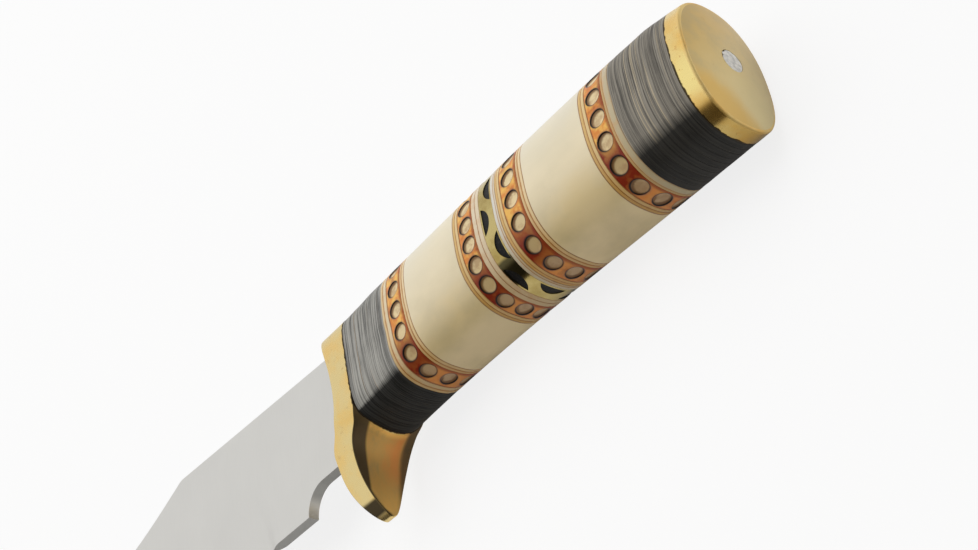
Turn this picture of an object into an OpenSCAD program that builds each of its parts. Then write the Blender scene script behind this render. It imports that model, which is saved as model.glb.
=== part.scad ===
// Hunting knife with a stacked handle. The knife lies on its side: +X runs to the pommel, the
// cutting edge and the quillon face -Y, and the face of the blade that is seen faces +Z.
// Every piece of the handle is a slice of one lofted form, threaded on the tang, and the tang's
// round end is peened over the pommel.

/* [Handle form] */
// Height of the handle section, spine to edge side, where it meets the guard
height_at_guard = 31.1; // [26:0.1:34]
// Height of the section at a third of the handle
height_at_first_third = 28.4; // [25:0.1:34]
// Height of the section at two thirds of the handle
height_at_second_third = 29.3; // [25:0.1:34]
// Height of the section at the pommel's rear crease
height_at_pommel = 30.4; // [26:0.1:34]
// Thickness of the handle, face to face, where it meets the guard
thickness_at_guard = 21.9; // [18:0.1:26]
// Thickness at a third of the handle
thickness_at_first_third = 23.6; // [19:0.1:26]
// Thickness at two thirds of the handle
thickness_at_second_third = 23.9; // [19:0.1:26]
// Thickness at the pommel's rear crease
thickness_at_pommel = 22.3; // [19:0.1:26]
// Drop of the section's middle towards the edge side at the guard
drop_at_guard = 1.05; // [0:0.05:2]
// Drop of the section's middle towards the edge side at the pommel
drop_at_pommel = 0.8; // [0:0.05:2]
// Squareness of the spine half of the section, where 2 is an ellipse
spine_squareness = 3; // [2:0.1:4]
// Squareness of the edge half of the section, where 2 is an ellipse
edge_squareness = 2.4; // [2:0.1:4]
// Squareness of the spine half at the pommel's rear crease, where it is filed rounder
pommel_squareness = 2.25; // [2:0.05:4]
// Length over which the spine half grows rounder towards that crease
pommel_ease_l = 9; // [4:0.5:20]

/* [Discs and collars] */
// Number of black discs in each of the two stacks
disc_count = 10; // [6:1:11]
// Thickness of one black disc next to the guard
front_disc_l = 1.49; // [1:0.01:2]
// Thickness of one black disc next to the pommel
rear_disc_l = 1.46; // [1:0.01:2]
// Length of the plain bone collar behind the front discs
front_collar_l = 2.17; // [1.5:0.01:4]
// Length of the plain bone collar ahead of the rear discs
rear_collar_l = 2.02; // [1.5:0.01:4]

/* [Bone rings] */
// Length of the first dotted ring
dotted_1_l = 5.18; // [4.2:0.01:7]
// Length of the second dotted ring
dotted_2_l = 4.66; // [4.2:0.01:7]
// Length of the third dotted ring
dotted_3_l = 5.19; // [4.2:0.01:7]
// Length of the fourth dotted ring
dotted_4_l = 4.5; // [4.2:0.01:7]
// Length of the plain bone barrel ahead of the brass band
front_barrel_l = 17.74; // [12:0.01:24]
// Length of the plain bone barrel behind the brass band
rear_barrel_l = 17.34; // [12:0.01:24]
// Length of the thin bone rings beside the barrels
spacer_l = 1.63; // [1:0.01:3]
// Length of each of the two thin rings ahead of the brass band
front_fillet_l = 1.23; // [0.8:0.01:2]
// Length of each of the two thin rings behind the brass band
rear_fillet_l = 1.42; // [0.8:0.01:2]

/* [Pits] */
// Pits round the first, third and fourth dotted rings
pit_count = 16; // [10:1:17]
// Pits round the second dotted ring
close_pit_count = 18; // [10:1:18]
// Turn of the pits round each dotted ring, in steps from one pit to the next
pit_turns = [0.13, 0.03, 0.25, 0.12]; // [0:0.01:1]
// Diameter of a pit at the surface
pit_d = 3.7; // [2:0.1:3.9]
// Depth of a pit
pit_depth = 0.7; // [0.3:0.05:1.2]

/* [Wave band] */
// Length of the brass band along the handle
wave_band_l = 3.9; // [3:0.05:6]
// Windows along each edge of the band
wave_window_count = 6; // [4:1:7]
// Turn of the windows round the handle, in steps from one window to the next
wave_turn = 0.06; // [0:0.01:1]
// Length of a window round the handle
wave_window_l = 6.6; // [4:0.1:7]
// Depth of a window from the band's rail inwards
wave_window_depth = 1.95; // [1:0.05:2.2]
// Width of the rail left along the band's edges
wave_rail = 0.35; // [0.2:0.05:0.6]
// Wall of the brass band
wave_wall = 1; // [0.6:0.1:2]
// How far the black filling stays under the brass
inlay_recess = 0.12; // [0.05:0.01:0.4]

/* [Pommel] */
// Length of the pommel's rim, up to the crease
pommel_rim_l = 3.7; // [3:0.1:8]
// Round of the pommel's edge at the crease
pommel_round = 0.6; // [0.2:0.05:1]
// Rise of the pommel's end face above the crease
pommel_rise = 1.3; // [0.6:0.1:3]
// Diameter of the round tang end
tang_rod_d = 4.2; // [3:0.1:6]
// Diameter of the peened head
peen_d = 5.2; // [4.8:0.1:7]
// Depth of the countersink that the head fills
peen_depth = 1; // [0.5:0.1:2]

/* [Guard] */
// Thickness of the guard at its waist
guard_waist = 6.1; // [5:0.1:10]
// How far the guard's top sweeps forward of the waist
top_flare = 3.05; // [0:0.05:5]
// How far the quillon sweeps forward of the waist
quillon_sweep = 3.9; // [1:0.05:5]
// Reach of the quillon below the handle's middle line
quillon_reach = 35.5; // [28:0.1:40]
// Width of the quillon's root, measured in line with the guard's back face
quillon_width = 16.3; // [13:0.1:17]
// How much each flank of the quillon draws in for each millimetre towards the tip
quillon_taper = 0.25; // [0.1:0.01:0.28]
// How much wider the quillon grows for each millimetre forward, as a share of its width
flank_flare = 0.038; // [0:0.001:0.05]
// Squareness of the quillon's tip, where a higher number keeps its width for longer
tip_squareness = 7.2; // [3:0.1:12]
// Round of the inner corners between the handle's outline and the quillon
root_round = 1.2; // [0.4:0.1:2]
// Depth of the cove behind the quillon
cove_depth = 5.5; // [3:0.1:5.6]
// How fast the cove deepens away from the discs
cove_run = 2.8; // [1.5:0.1:4]
// How far the quillon's front rounds back at the tip
tip_round_front = 4; // [1:0.1:4]
// How far the cove comes back at the tip
tip_round_back = 1.8; // [0.5:0.1:2]

/* [Blade] */
// Thickness of the blade
blade_t = 2.7; // [2:0.1:4]
// Length of the blade, guard's back face to point
blade_l = 142; // [120:1:170]
// Height of the spine over the handle's middle line at the guard
spine_height = 12.7; // [11:0.1:13.5]
// Rise of the spine away from the guard, in degrees
spine_rise = 3.5; // [0:0.1:5]
// Depth of the blade's lower side below the middle line at the guard
root_depth = 15.2; // [13:0.1:17]
// Depth of the cutting edge below the middle line
edge_depth = 21.5; // [20:0.1:24]
// Distance of the heel corner from the guard's back face
heel_x = 31.9; // [28:0.1:36]
// Distance of the plunge line from the guard's back face, at the edge
plunge_x = 45; // [40:0.5:52]
// How far the plunge line leans forward over the height of the grind
plunge_lean = 4.5; // [0:0.5:8]
// Length of the run-out where the grind reaches its full depth
plunge_runout = 5; // [2:0.5:8]
// Height of the ground flat above the edge
grind_height = 21; // [14:0.5:26]
// Thickness left along the cutting edge
edge_t = 0.35; // [0.2:0.05:0.6]
// Distance from the guard's back face to where the clip leaves the spine
clip_x = 88; // [75:1:105]
// Height of the point above the middle line
point_height = 6; // [0:0.5:12]
// Distance from the guard's back face to where the belly leaves the straight edge
belly_x = 78; // [65:1:100]

/* [Tang and core] */
// Thickness of the tang, filed down behind the blade's shoulders
tang_t = 2.3; // [1.5:0.1:2.6]
// Height of the tang at the guard
tang_root_h = 15; // [11:0.5:17]
// Height of the tang at the pommel
tang_tip_h = 7; // [5:0.5:9]
// Length of the round rod inside the handle, ahead of the pommel
rod_overlap = 6; // [3:0.5:10]
// Height of the filler core inside the bone rings
core_h = 20; // [18:0.5:22]
// Thickness of the filler core
core_t = 9; // [7:0.5:11]
// Clearance round the tang, the core, the peen and the inlay
clearance = 0.15; // [0.05:0.01:0.3]

/* [Hidden] */
function disc_names(stack) = [for (i = [1:disc_count]) str(stack, "_disc_", i)];

// Colours
brass = [0.80, 0.66, 0.34];
steel = [0.78, 0.78, 0.77];
black = [0.10, 0.10, 0.10];
bone = [0.88, 0.83, 0.71];
amber = [0.80, 0.45, 0.20];
resin = [0.45, 0.36, 0.25];

// Points round one section, and a small overrun that keeps cuts clear of faces
ring_points = 48;
cut = 1;

// Where each slice of the handle starts, from the guard's back face
collar_x = disc_count * front_disc_l;
dotted_1_x = collar_x + front_collar_l;
spacer_1_x = dotted_1_x + dotted_1_l;
barrel_1_x = spacer_1_x + spacer_l;
spacer_2_x = barrel_1_x + front_barrel_l;
dotted_2_x = spacer_2_x + spacer_l;
fillet_1_x = dotted_2_x + dotted_2_l;
fillet_2_x = fillet_1_x + front_fillet_l;
wave_x = fillet_2_x + front_fillet_l;
fillet_3_x = wave_x + wave_band_l;
fillet_4_x = fillet_3_x + rear_fillet_l;
dotted_3_x = fillet_4_x + rear_fillet_l;
spacer_3_x = dotted_3_x + dotted_3_l;
barrel_2_x = spacer_3_x + spacer_l;
spacer_4_x = barrel_2_x + rear_barrel_l;
dotted_4_x = spacer_4_x + spacer_l;
rear_collar_x = dotted_4_x + dotted_4_l;
rear_discs_x = rear_collar_x + rear_collar_l;
pommel_x = rear_discs_x + disc_count * rear_disc_l;
crease_x = pommel_x + pommel_rim_l;
handle_end_x = crease_x + pommel_rise;

// The handle's section, at place x along it. Places run from -1 at the guard to 1 at the crease
function place(x) = 2 * x / crease_x - 1;
// A cubic through four values at equal steps of place
function through(v, t) =
    v[0] * (t + 1/3) * (t - 1/3) * (t - 1) * -9/16 + v[1] * (t + 1) * (t - 1/3) * (t - 1) * 27/16
    + v[2] * (t + 1) * (t + 1/3) * (t - 1) * -27/16 + v[3] * (t + 1) * (t + 1/3) * (t - 1/3) * 9/16;
function half_height(x) = 0.5 * through(
    [height_at_guard, height_at_first_third, height_at_second_third, height_at_pommel], place(x));
function half_thickness(x) = 0.5 * through(
    [thickness_at_guard, thickness_at_first_third, thickness_at_second_third, thickness_at_pommel],
    place(x));
function middle(x) = let (t = place(x))
    -t * t * (drop_at_guard * (1 - t) + drop_at_pommel * (1 + t)) / 2;
function squareness(x, angle) = cos(angle) > 0
    ? spine_squareness + (pommel_squareness - spine_squareness)
        * min(1, max(0, 1 - (crease_x - x) / pommel_ease_l))
    : edge_squareness;

// Reach of the section in one direction, where 0 degrees is the spine and 90 the seen face
function reach(x, angle, inset) = let (n = squareness(x, angle))
    pow(pow(abs(cos(angle)) / (half_height(x) - inset), n)
        + pow(abs(sin(angle)) / (half_thickness(x) - inset), n), -1 / n);
function section_point(x, angle, inset = 0) = let (r = reach(x, angle, inset))
    [middle(x) + r * cos(angle), r * sin(angle)];
function section(x, inset = 0) =
    [for (i = [0:ring_points - 1]) section_point(x, 360 * i / ring_points, inset)];
// The same outline as a ring in space, moved along to another place and scaled about its middle
function ring(x, inset = 0, at, s = 1) = let (c = middle(x))
    [for (p = section(x, inset)) [at, c + s * (p[0] - c), s * p[1]]];

// Direction in which the surface faces at a point of the section, as an angle in that plane
function facing(x, angle) = let (p = section_point(x, angle), n = squareness(x, angle))
    atan2(sign(p[1]) * pow(abs(p[1]) / half_thickness(x), n - 1) / half_thickness(x),
          sign(p[0] - middle(x)) * pow(abs(p[0] - middle(x)) / half_height(x), n - 1) / half_height(x));

// The direction that lies a share of the way round the section, measured along its surface
function walk(x, steps) = [for (i = 0, s = 0; i <= steps;
    s = s + norm(section_point(x, 360 * (i + 1) / steps) - section_point(x, 360 * i / steps)),
    i = i + 1) [s, 360 * i / steps]];
function round_the_section(x, share) = let (w = walk(x, ring_points))
    lookup(share * w[ring_points][0], w);

// One solid skinned over rings that hold the same number of points
module skin(rings) {
    n = len(rings[0]);
    last = len(rings) - 1;
    sides = [for (k = [0:last - 1]) for (i = [0:n - 1]) let (j = (i + 1) % n)
        each [[k * n + i, (k + 1) * n + j, k * n + j], [k * n + i, (k + 1) * n + i, (k + 1) * n + j]]];
    polyhedron([for (r = rings) each r], concat(
        sides, [[for (i = [0:n - 1]) i]], [[for (i = [n - 1:-1:0]) last * n + i]]), convexity = 4);
}

// A slice of the handle's form
module slice(x, l, inset = 0, steps = 1) {
    skin([for (k = [0:steps]) let (at = x + l * k / steps) ring(at, inset, at)]);
}

// Puts a child on the surface, with +Z facing outwards and +X along the handle
module on_surface(x, angle) {
    p = section_point(x, angle);
    translate([x, p[0], p[1]]) rotate([facing(x, angle) - 90, 0, 0]) children();
}

// The tang's outline, which narrows and drops to the round rod in the middle of the pommel
tang_end_x = pommel_x - rod_overlap;
rod_y = middle(crease_x);
module tang_outline(gap) {
    polygon([[-guard_depth, -tang_root_h / 2 - gap], [tang_end_x + gap, rod_y - tang_tip_h / 2 - gap],
             [tang_end_x + gap, rod_y + tang_tip_h / 2 + gap], [-guard_depth, tang_root_h / 2 + gap]]);
}
module rod(gap, end_x) {
    translate([tang_end_x - rod_overlap, rod_y, 0]) rotate([0, 90, 0])
        cylinder(h = end_x - tang_end_x + rod_overlap, d = tang_rod_d + 2 * gap, $fn = 48);
}
// The head that is peened into the pommel's countersink
module peen(gap, rise) {
    translate([handle_end_x - peen_depth, rod_y, 0]) rotate([0, 90, 0])
        cylinder(h = peen_depth + rise, d = peen_d + 2 * gap, $fn = 48);
}
module tang_hole() {
    linear_extrude(tang_t + 2 * clearance, center = true) tang_outline(clearance);
    rod(clearance, handle_end_x + cut);
}

// Black discs
module disc(x, disc_l, i) {
    at = x + (i - 1) * disc_l;
    color(black) difference() {
        slice(at, disc_l);
        tang_hole();
    }
}

// Filler core, a long block with round edges that fills the hollow of the bone
module core_bar(gap, from_x, to_x) {
    w = core_h - core_t;
    translate([from_x, 0, 0]) rotate([90, 0, 90]) linear_extrude(to_x - from_x) {
        square([w, core_t + 2 * gap], center = true);
        for (s = [-1, 1]) translate([s * w / 2, 0]) circle(d = core_t + 2 * gap, $fn = 48);
    }
}
module handle_core() {
    color(resin) difference() {
        core_bar(0, collar_x, rear_discs_x);
        tang_hole();
    }
}
module core_hole() {
    core_bar(clearance, collar_x - cut, rear_discs_x + cut);
}

// Plain bone slices
module bone_slice(x, l, steps = 1) {
    color(bone) difference() {
        slice(x, l, 0, steps);
        core_hole();
    }
}

// Dotted rings, with a row of dished pits
pit_ball_r = (pit_d * pit_d / 4 + pit_depth * pit_depth) / (2 * pit_depth);
module dotted_ring(x, l, count, turn) {
    at = x + l / 2;
    color(amber) difference() {
        slice(x, l, 0, 2);
        core_hole();
        for (i = [0:count - 1])
            on_surface(at, round_the_section(at, (i + turn) / count))
                translate([0, 0, pit_ball_r - pit_depth]) sphere(r = pit_ball_r, $fn = 48);
    }
}

// Windows of the wave band: round-bellied openings from alternate edges, short of a thin rail
window_r = (wave_window_l * wave_window_l / 4 + wave_window_depth * wave_window_depth)
    / (2 * wave_window_depth);
module window_outline(gap) {
    intersection() {
        translate([wave_rail + wave_window_depth - window_r, 0]) circle(r = window_r - gap, $fn = 96);
        translate([wave_rail + gap, -wave_window_l]) square([wave_band_l, 2 * wave_window_l]);
    }
}
module wave_windows(gap) {
    for (i = [0:wave_window_count - 1], side = [0, 1]) {
        edge_x = wave_x + side * wave_band_l;
        on_surface(edge_x, round_the_section(edge_x, (i + (1 - side) / 2 + wave_turn) / wave_window_count))
            translate([0, 0, -2 * wave_wall]) mirror([side, 0, 0])
                linear_extrude(3 * wave_wall) window_outline(gap);
    }
}
module wave_band() {
    color(brass) difference() {
        slice(wave_x, wave_band_l);
        slice(wave_x - cut, wave_band_l + 2 * cut, wave_wall);
        wave_windows(0);
    }
}
module wave_inlay() {
    color(black) difference() {
        union() {
            slice(wave_x, wave_band_l, wave_wall + clearance);
            intersection() {
                slice(wave_x, wave_band_l, inlay_recess);
                wave_windows(clearance / 3);
            }
        }
        core_hole();
    }
}

// Pommel: the last slice, its edge rounded, closed by a low dome, with the bore and the peen's seat
round_steps = 4;
dome_rings = 6;
dome_flat = 0.25;
module pommel() {
    color(brass) difference() {
        skin(concat(
            [ring(pommel_x, 0, pommel_x)],
            [for (k = [0:round_steps]) let (a = 90 * k / round_steps)
                ring(crease_x, pommel_round * (1 - cos(a)), crease_x - pommel_round * (1 - sin(a)))],
            [for (k = [1:dome_rings]) let (s = 1 - (1 - dome_flat) * k / dome_rings)
                ring(crease_x, pommel_round,
                     crease_x + pommel_rise * (1 - s * s) / (1 - dome_flat * dome_flat), s)]));
        rod(clearance, handle_end_x + cut);
        peen(clearance, cut);
    }
}

// Guard. A step that eases in and out, used for its sweeps
function ease(t) = let (u = min(1, max(0, t))) u * u * (3 - 2 * u);
flare_from = -1;
flare_to = 10;
sweep_from = -2;
sweep_to = -23;
// Share of the way round the tip, counted over its last stretch and past its end
tip_l = 12;
function tip(y) = pow(max(0, -y - quillon_reach + tip_l) / tip_l, 2);
function guard_front(y) = -guard_waist - top_flare * ease((y - flare_from) / (flare_to - flare_from))
    - quillon_sweep * ease((y - sweep_from) / (sweep_to - sweep_from)) + tip_round_front * tip(y);
guard_depth = guard_waist + max(top_flare, quillon_sweep) + cut;
guard_top = half_height(0) + cut;
profile_step = 1;
module guard_profile() {
    polygon(concat([[0, guard_top]],
        [for (y = [guard_top:-profile_step:-quillon_reach - cut]) [guard_front(y), y]],
        [[0, -quillon_reach - cut]]));
}
// The guard's outline in front view: the handle's section, from which the quillon grows smoothly.
// Half widths are counted from the middle plane at height y, and at place x where they change with it
blend_top_y = -7;
quillon_root_y = -12;
blend_end_y = -15;
blend_l = 5;
flare_start_y = -10;
flare_l = 9;
least_half_width = 1;
function section_half(y) = half_thickness(0)
    * pow(max(0, 1 - pow(abs(y - middle(0)) / half_height(0), edge_squareness)), 1 / edge_squareness);
function quillon_half(x, y) = let (d = max(0, quillon_root_y - y),
                                  t = min(1, d / (quillon_reach + quillon_root_y)))
    max(least_half_width, quillon_width / 2 - quillon_taper * d)
    * (1 - flank_flare * x * ease((flare_start_y - y) / flare_l)) * sqrt(1 - pow(t, tip_squareness));
function root_blend(y) = root_round * ease((blend_top_y - y) / blend_l)
    * (1 - ease((blend_end_y - y) / blend_l));
function guard_half(x, y) = let (s = section_half(y), q = quillon_half(x, y))
    (s + q + norm([s - q, root_blend(y)])) / 2;
guard_points = 16;
guard_rows = 26;
guard_rings = 4;
function row_y(k) = blend_top_y - (quillon_reach + blend_top_y) * (1 - pow(1 - k / guard_rows, 1.7));
function guard_ring(x) = let (top = atan2(section_half(blend_top_y), blend_top_y - middle(0))) concat(
    [for (i = [0:guard_points]) let (p = section_point(0, top * i / guard_points)) [x, p[0], p[1]]],
    [for (k = [1:guard_rows]) [x, row_y(k), guard_half(x, row_y(k))]],
    [for (k = [guard_rows - 1:-1:1]) [x, row_y(k), -guard_half(x, row_y(k))]],
    [for (i = [guard_points:-1:1]) let (p = section_point(0, top * i / guard_points)) [x, p[0], -p[1]]]);
// The cove behind the quillon follows the discs' outline
cove_rows = 14;
cove_columns = 16;
function cove_drop(d, y) = cove_depth * (1 - exp(-d / cove_run)) - tip_round_back * tip(y);
function section_bottom(z) = let (u = min(1, abs(z) / half_thickness(0)))
    middle(0) - half_height(0) * pow(1 - pow(u, edge_squareness), 1 / edge_squareness);
module cove() {
    half_w = quillon_width / 2 + cut;
    cove_reach = quillon_reach + section_bottom(half_w) + cut;
    rows = [for (r = [0:cove_rows]) cove_reach * pow(r / cove_rows, 1.6)];
    // Each ring is one line across the cove and its shadow behind the guard
    ring = [for (d = rows) concat(
        [for (c = [0:cove_columns]) let (z = half_w * (2 * c / cove_columns - 1), y = section_bottom(z) - d)
            [-cove_drop(d, y), y, z]],
        [for (c = [cove_columns:-1:0]) let (z = half_w * (2 * c / cove_columns - 1))
            [cut, section_bottom(z) - d, z]])];
    n = 2 * (cove_columns + 1);
    polyhedron([for (r = ring) each r], concat(
        [for (k = [0:cove_rows - 1]) for (i = [0:n - 1]) let (j = (i + 1) % n)
            each [[k * n + i, k * n + j, (k + 1) * n + j], [k * n + i, (k + 1) * n + j, (k + 1) * n + i]]],
        [for (c = [0:cove_columns - 1]) each [[c, n - 1 - c, n - 2 - c], [c, n - 2 - c, c + 1]]],
        [for (c = [0:cove_columns - 1]) let (o = cove_rows * n)
            each [[o + c, o + n - 2 - c, o + n - 1 - c], [o + c, o + c + 1, o + n - 2 - c]]]),
        convexity = 6);
}
module guard() {
    color(brass) difference() {
        intersection() {
            skin([for (k = [0:guard_rings]) guard_ring(-guard_depth * (1 - k / guard_rings))]);
            linear_extrude(thickness_at_guard + 2 * cut, center = true) guard_profile();
        }
        cove();
        tang_hole();
    }
}

// Blade. Along it, u is the distance forward of the guard's back face
function spine_y(u) = spine_height + tan(spine_rise) * u;
// The clip is a shallow hollow from the spine to the point
clip_hollow = 2.2;
function clip_y(s) = spine_y(clip_x) + (point_height - spine_y(clip_x)) * s - clip_hollow * sin(180 * s);
// The belly bends up from the straight edge to the point
belly_power = 2.2;
function belly_y(s) = -edge_depth + (edge_depth + point_height) * pow(s, belly_power);
function edge_y(u) = u < belly_x ? -edge_depth : belly_y(min(1, (u - belly_x) / (blade_l - belly_x)));
outline_steps = 14;
choil_r = edge_depth - root_depth;
module blade_outline() {
    polygon(concat(
        [[0, spine_y(0)], [-clip_x, spine_y(clip_x)]],
        [for (i = [1:outline_steps]) let (s = i / outline_steps)
            [-clip_x - (blade_l - clip_x) * s, clip_y(s)]],
        [for (i = [outline_steps - 1:-1:0]) let (s = i / outline_steps)
            [-belly_x - (blade_l - belly_x) * s, belly_y(s)]],
        // The choil is a quarter round from the heel up to the root
        [for (a = [0:9:90]) [-heel_x + choil_r * (1 - cos(a)), -edge_depth + choil_r * sin(a)]],
        [[0, -root_depth]]));
}
// Stock ground away from one side, from the plunge to beyond the point
grind_steps = 26;
lead_in = 0.05;
module grind() {
    slope = (blade_t - edge_t) / 2 / grind_height;
    over = 3;
    skin([for (i = [grind_steps:-1:0]) let (
            u = plunge_x + (blade_l + over - plunge_x) * pow(i / grind_steps, 1.3),
            run = ease((u - plunge_x) / plunge_runout),
            z = blade_t / 2 + lead_in - run * ((blade_t - edge_t) / 2 + lead_in),
            low = edge_y(min(u, blade_l)) - over, high = low + grind_height + 2 * over,
            high_x = -u - plunge_lean * (1 - i / grind_steps))
        [[-u, low, z - over * slope * run], [high_x, high, z + (grind_height + over) * slope * run],
         [high_x, high, 2 * blade_t], [-u, low, 2 * blade_t]]]);
}
module blade() {
    color(steel) {
        difference() {
            // The shoulders are filed to the guard's front and stop against it
            linear_extrude(blade_t, center = true) difference() {
                blade_outline();
                guard_profile();
            }
            for (s = [0, 1]) mirror([0, 0, s]) grind();
        }
        linear_extrude(tang_t, center = true) tang_outline(0);
        rod(0, handle_end_x - peen_depth + cut / 2);
        peen(0, 0);
    }
}

// The knife lies on its side on the table, over the middle of its own footprint
lift = max([for (i = [0:ring_points]) half_thickness(crease_x * i / ring_points)]);
module placed() {
    translate([(blade_l - handle_end_x) / 2, (quillon_reach - spine_y(clip_x)) / 2, lift]) children();
}

placed() blade();
placed() guard();
for (i = [1:disc_count])
    placed() disc(0, front_disc_l, i);
placed() bone_slice(collar_x, front_collar_l);  // front_collar
placed() dotted_ring(dotted_1_x, dotted_1_l, pit_count, pit_turns[0]);  // dotted_ring_1
placed() bone_slice(spacer_1_x, spacer_l);  // spacer_ring_1
placed() bone_slice(barrel_1_x, front_barrel_l, 4);  // front_barrel
placed() bone_slice(spacer_2_x, spacer_l);  // spacer_ring_2
placed() dotted_ring(dotted_2_x, dotted_2_l, close_pit_count, pit_turns[1]);  // dotted_ring_2
placed() bone_slice(fillet_1_x, front_fillet_l);  // fillet_ring_1
placed() bone_slice(fillet_2_x, front_fillet_l);  // fillet_ring_2
placed() wave_band();
placed() wave_inlay();
placed() bone_slice(fillet_3_x, rear_fillet_l);  // fillet_ring_3
placed() bone_slice(fillet_4_x, rear_fillet_l);  // fillet_ring_4
placed() dotted_ring(dotted_3_x, dotted_3_l, pit_count, pit_turns[2]);  // dotted_ring_3
placed() bone_slice(spacer_3_x, spacer_l);  // spacer_ring_3
placed() bone_slice(barrel_2_x, rear_barrel_l, 4);  // rear_barrel
placed() bone_slice(spacer_4_x, spacer_l);  // spacer_ring_4
placed() dotted_ring(dotted_4_x, dotted_4_l, pit_count, pit_turns[3]);  // dotted_ring_4
placed() bone_slice(rear_collar_x, rear_collar_l);  // rear_collar
for (i = [1:disc_count])
    placed() disc(rear_discs_x, rear_disc_l, i);
placed() pommel();
placed() handle_core();
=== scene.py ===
"""A hunting knife with a stacked handle: the look of every piece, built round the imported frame.

The knife lies on its side. Every piece is worked out in the knife's own millimetres, with x
counted from the guard's back face towards the pommel, y towards the spine and z out of the face
of the blade that is seen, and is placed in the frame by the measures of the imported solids.
"""

import logging
import math
from dataclasses import dataclass, field
from enum import Enum
from typing import Callable, Iterable, Sequence

import bpy
import numpy as np
from mathutils import Matrix, Vector


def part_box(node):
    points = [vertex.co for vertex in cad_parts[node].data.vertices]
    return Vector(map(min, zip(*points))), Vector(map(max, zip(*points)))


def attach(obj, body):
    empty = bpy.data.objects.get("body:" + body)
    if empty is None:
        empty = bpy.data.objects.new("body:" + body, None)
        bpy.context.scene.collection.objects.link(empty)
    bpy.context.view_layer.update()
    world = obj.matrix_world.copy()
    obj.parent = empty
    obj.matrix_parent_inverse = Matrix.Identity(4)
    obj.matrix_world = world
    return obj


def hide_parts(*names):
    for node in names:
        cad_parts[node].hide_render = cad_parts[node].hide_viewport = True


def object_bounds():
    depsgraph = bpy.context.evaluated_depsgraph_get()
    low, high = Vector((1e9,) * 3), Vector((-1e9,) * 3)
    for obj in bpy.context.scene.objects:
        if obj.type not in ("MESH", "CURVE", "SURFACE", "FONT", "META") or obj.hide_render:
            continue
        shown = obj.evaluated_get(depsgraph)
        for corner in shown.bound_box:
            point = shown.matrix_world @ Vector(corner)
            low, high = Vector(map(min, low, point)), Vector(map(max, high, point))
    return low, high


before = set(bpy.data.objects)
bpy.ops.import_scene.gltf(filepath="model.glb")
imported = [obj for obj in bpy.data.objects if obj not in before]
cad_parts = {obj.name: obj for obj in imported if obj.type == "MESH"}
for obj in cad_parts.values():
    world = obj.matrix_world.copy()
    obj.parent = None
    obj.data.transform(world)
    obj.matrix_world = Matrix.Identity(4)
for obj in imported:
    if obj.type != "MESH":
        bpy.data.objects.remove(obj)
CAD_BOX = [list(corner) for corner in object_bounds()]

LOG = logging.getLogger("knife")
MM = 0.001
ROOT = "root"

Vec = tuple[float, float, float]
Colour = tuple[float, float, float]
Paint = Colour | bpy.types.NodeSocket
Profile = Sequence[tuple[float, float]]
Faces = list[tuple[int, ...]]
Numbers = float | np.ndarray

WHITE: Colour = (1.0, 1.0, 1.0)
TO_EDGE: Vec = (0.0, -1.0, 0.0)
TO_POMMEL: Vec = (1.0, 0.0, 0.0)
TINY = 1e-3
TINIEST = 1e-6
FULL_TURN = 2 * math.pi
QUARTER_TURN = math.pi / 2


class Slot(Enum):
    """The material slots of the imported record."""

    STEEL = "blade_steel"
    BRASS = "brass"
    DISC = "black_disc"
    BONE = "bone"
    STAINED = "stained_bone"
    FILLING = "black_filling"
    CORE = "core_resin"


def ease(t: Numbers) -> Numbers:
    """Goes from 0 to 1 with level ends."""
    t = np.clip(t, 0.0, 1.0)
    return t * t * (3.0 - 2.0 * t)


def added(name: str, data: bpy.types.ID) -> bpy.types.Object:
    """Makes an object and puts it in the scene.

    Args:
        name: its name.
        data: its mesh, light or camera.

    Returns:
        The object.
    """
    thing = bpy.data.objects.new(name, data)
    bpy.context.scene.collection.objects.link(thing)
    return thing


# Shader nodes


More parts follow.
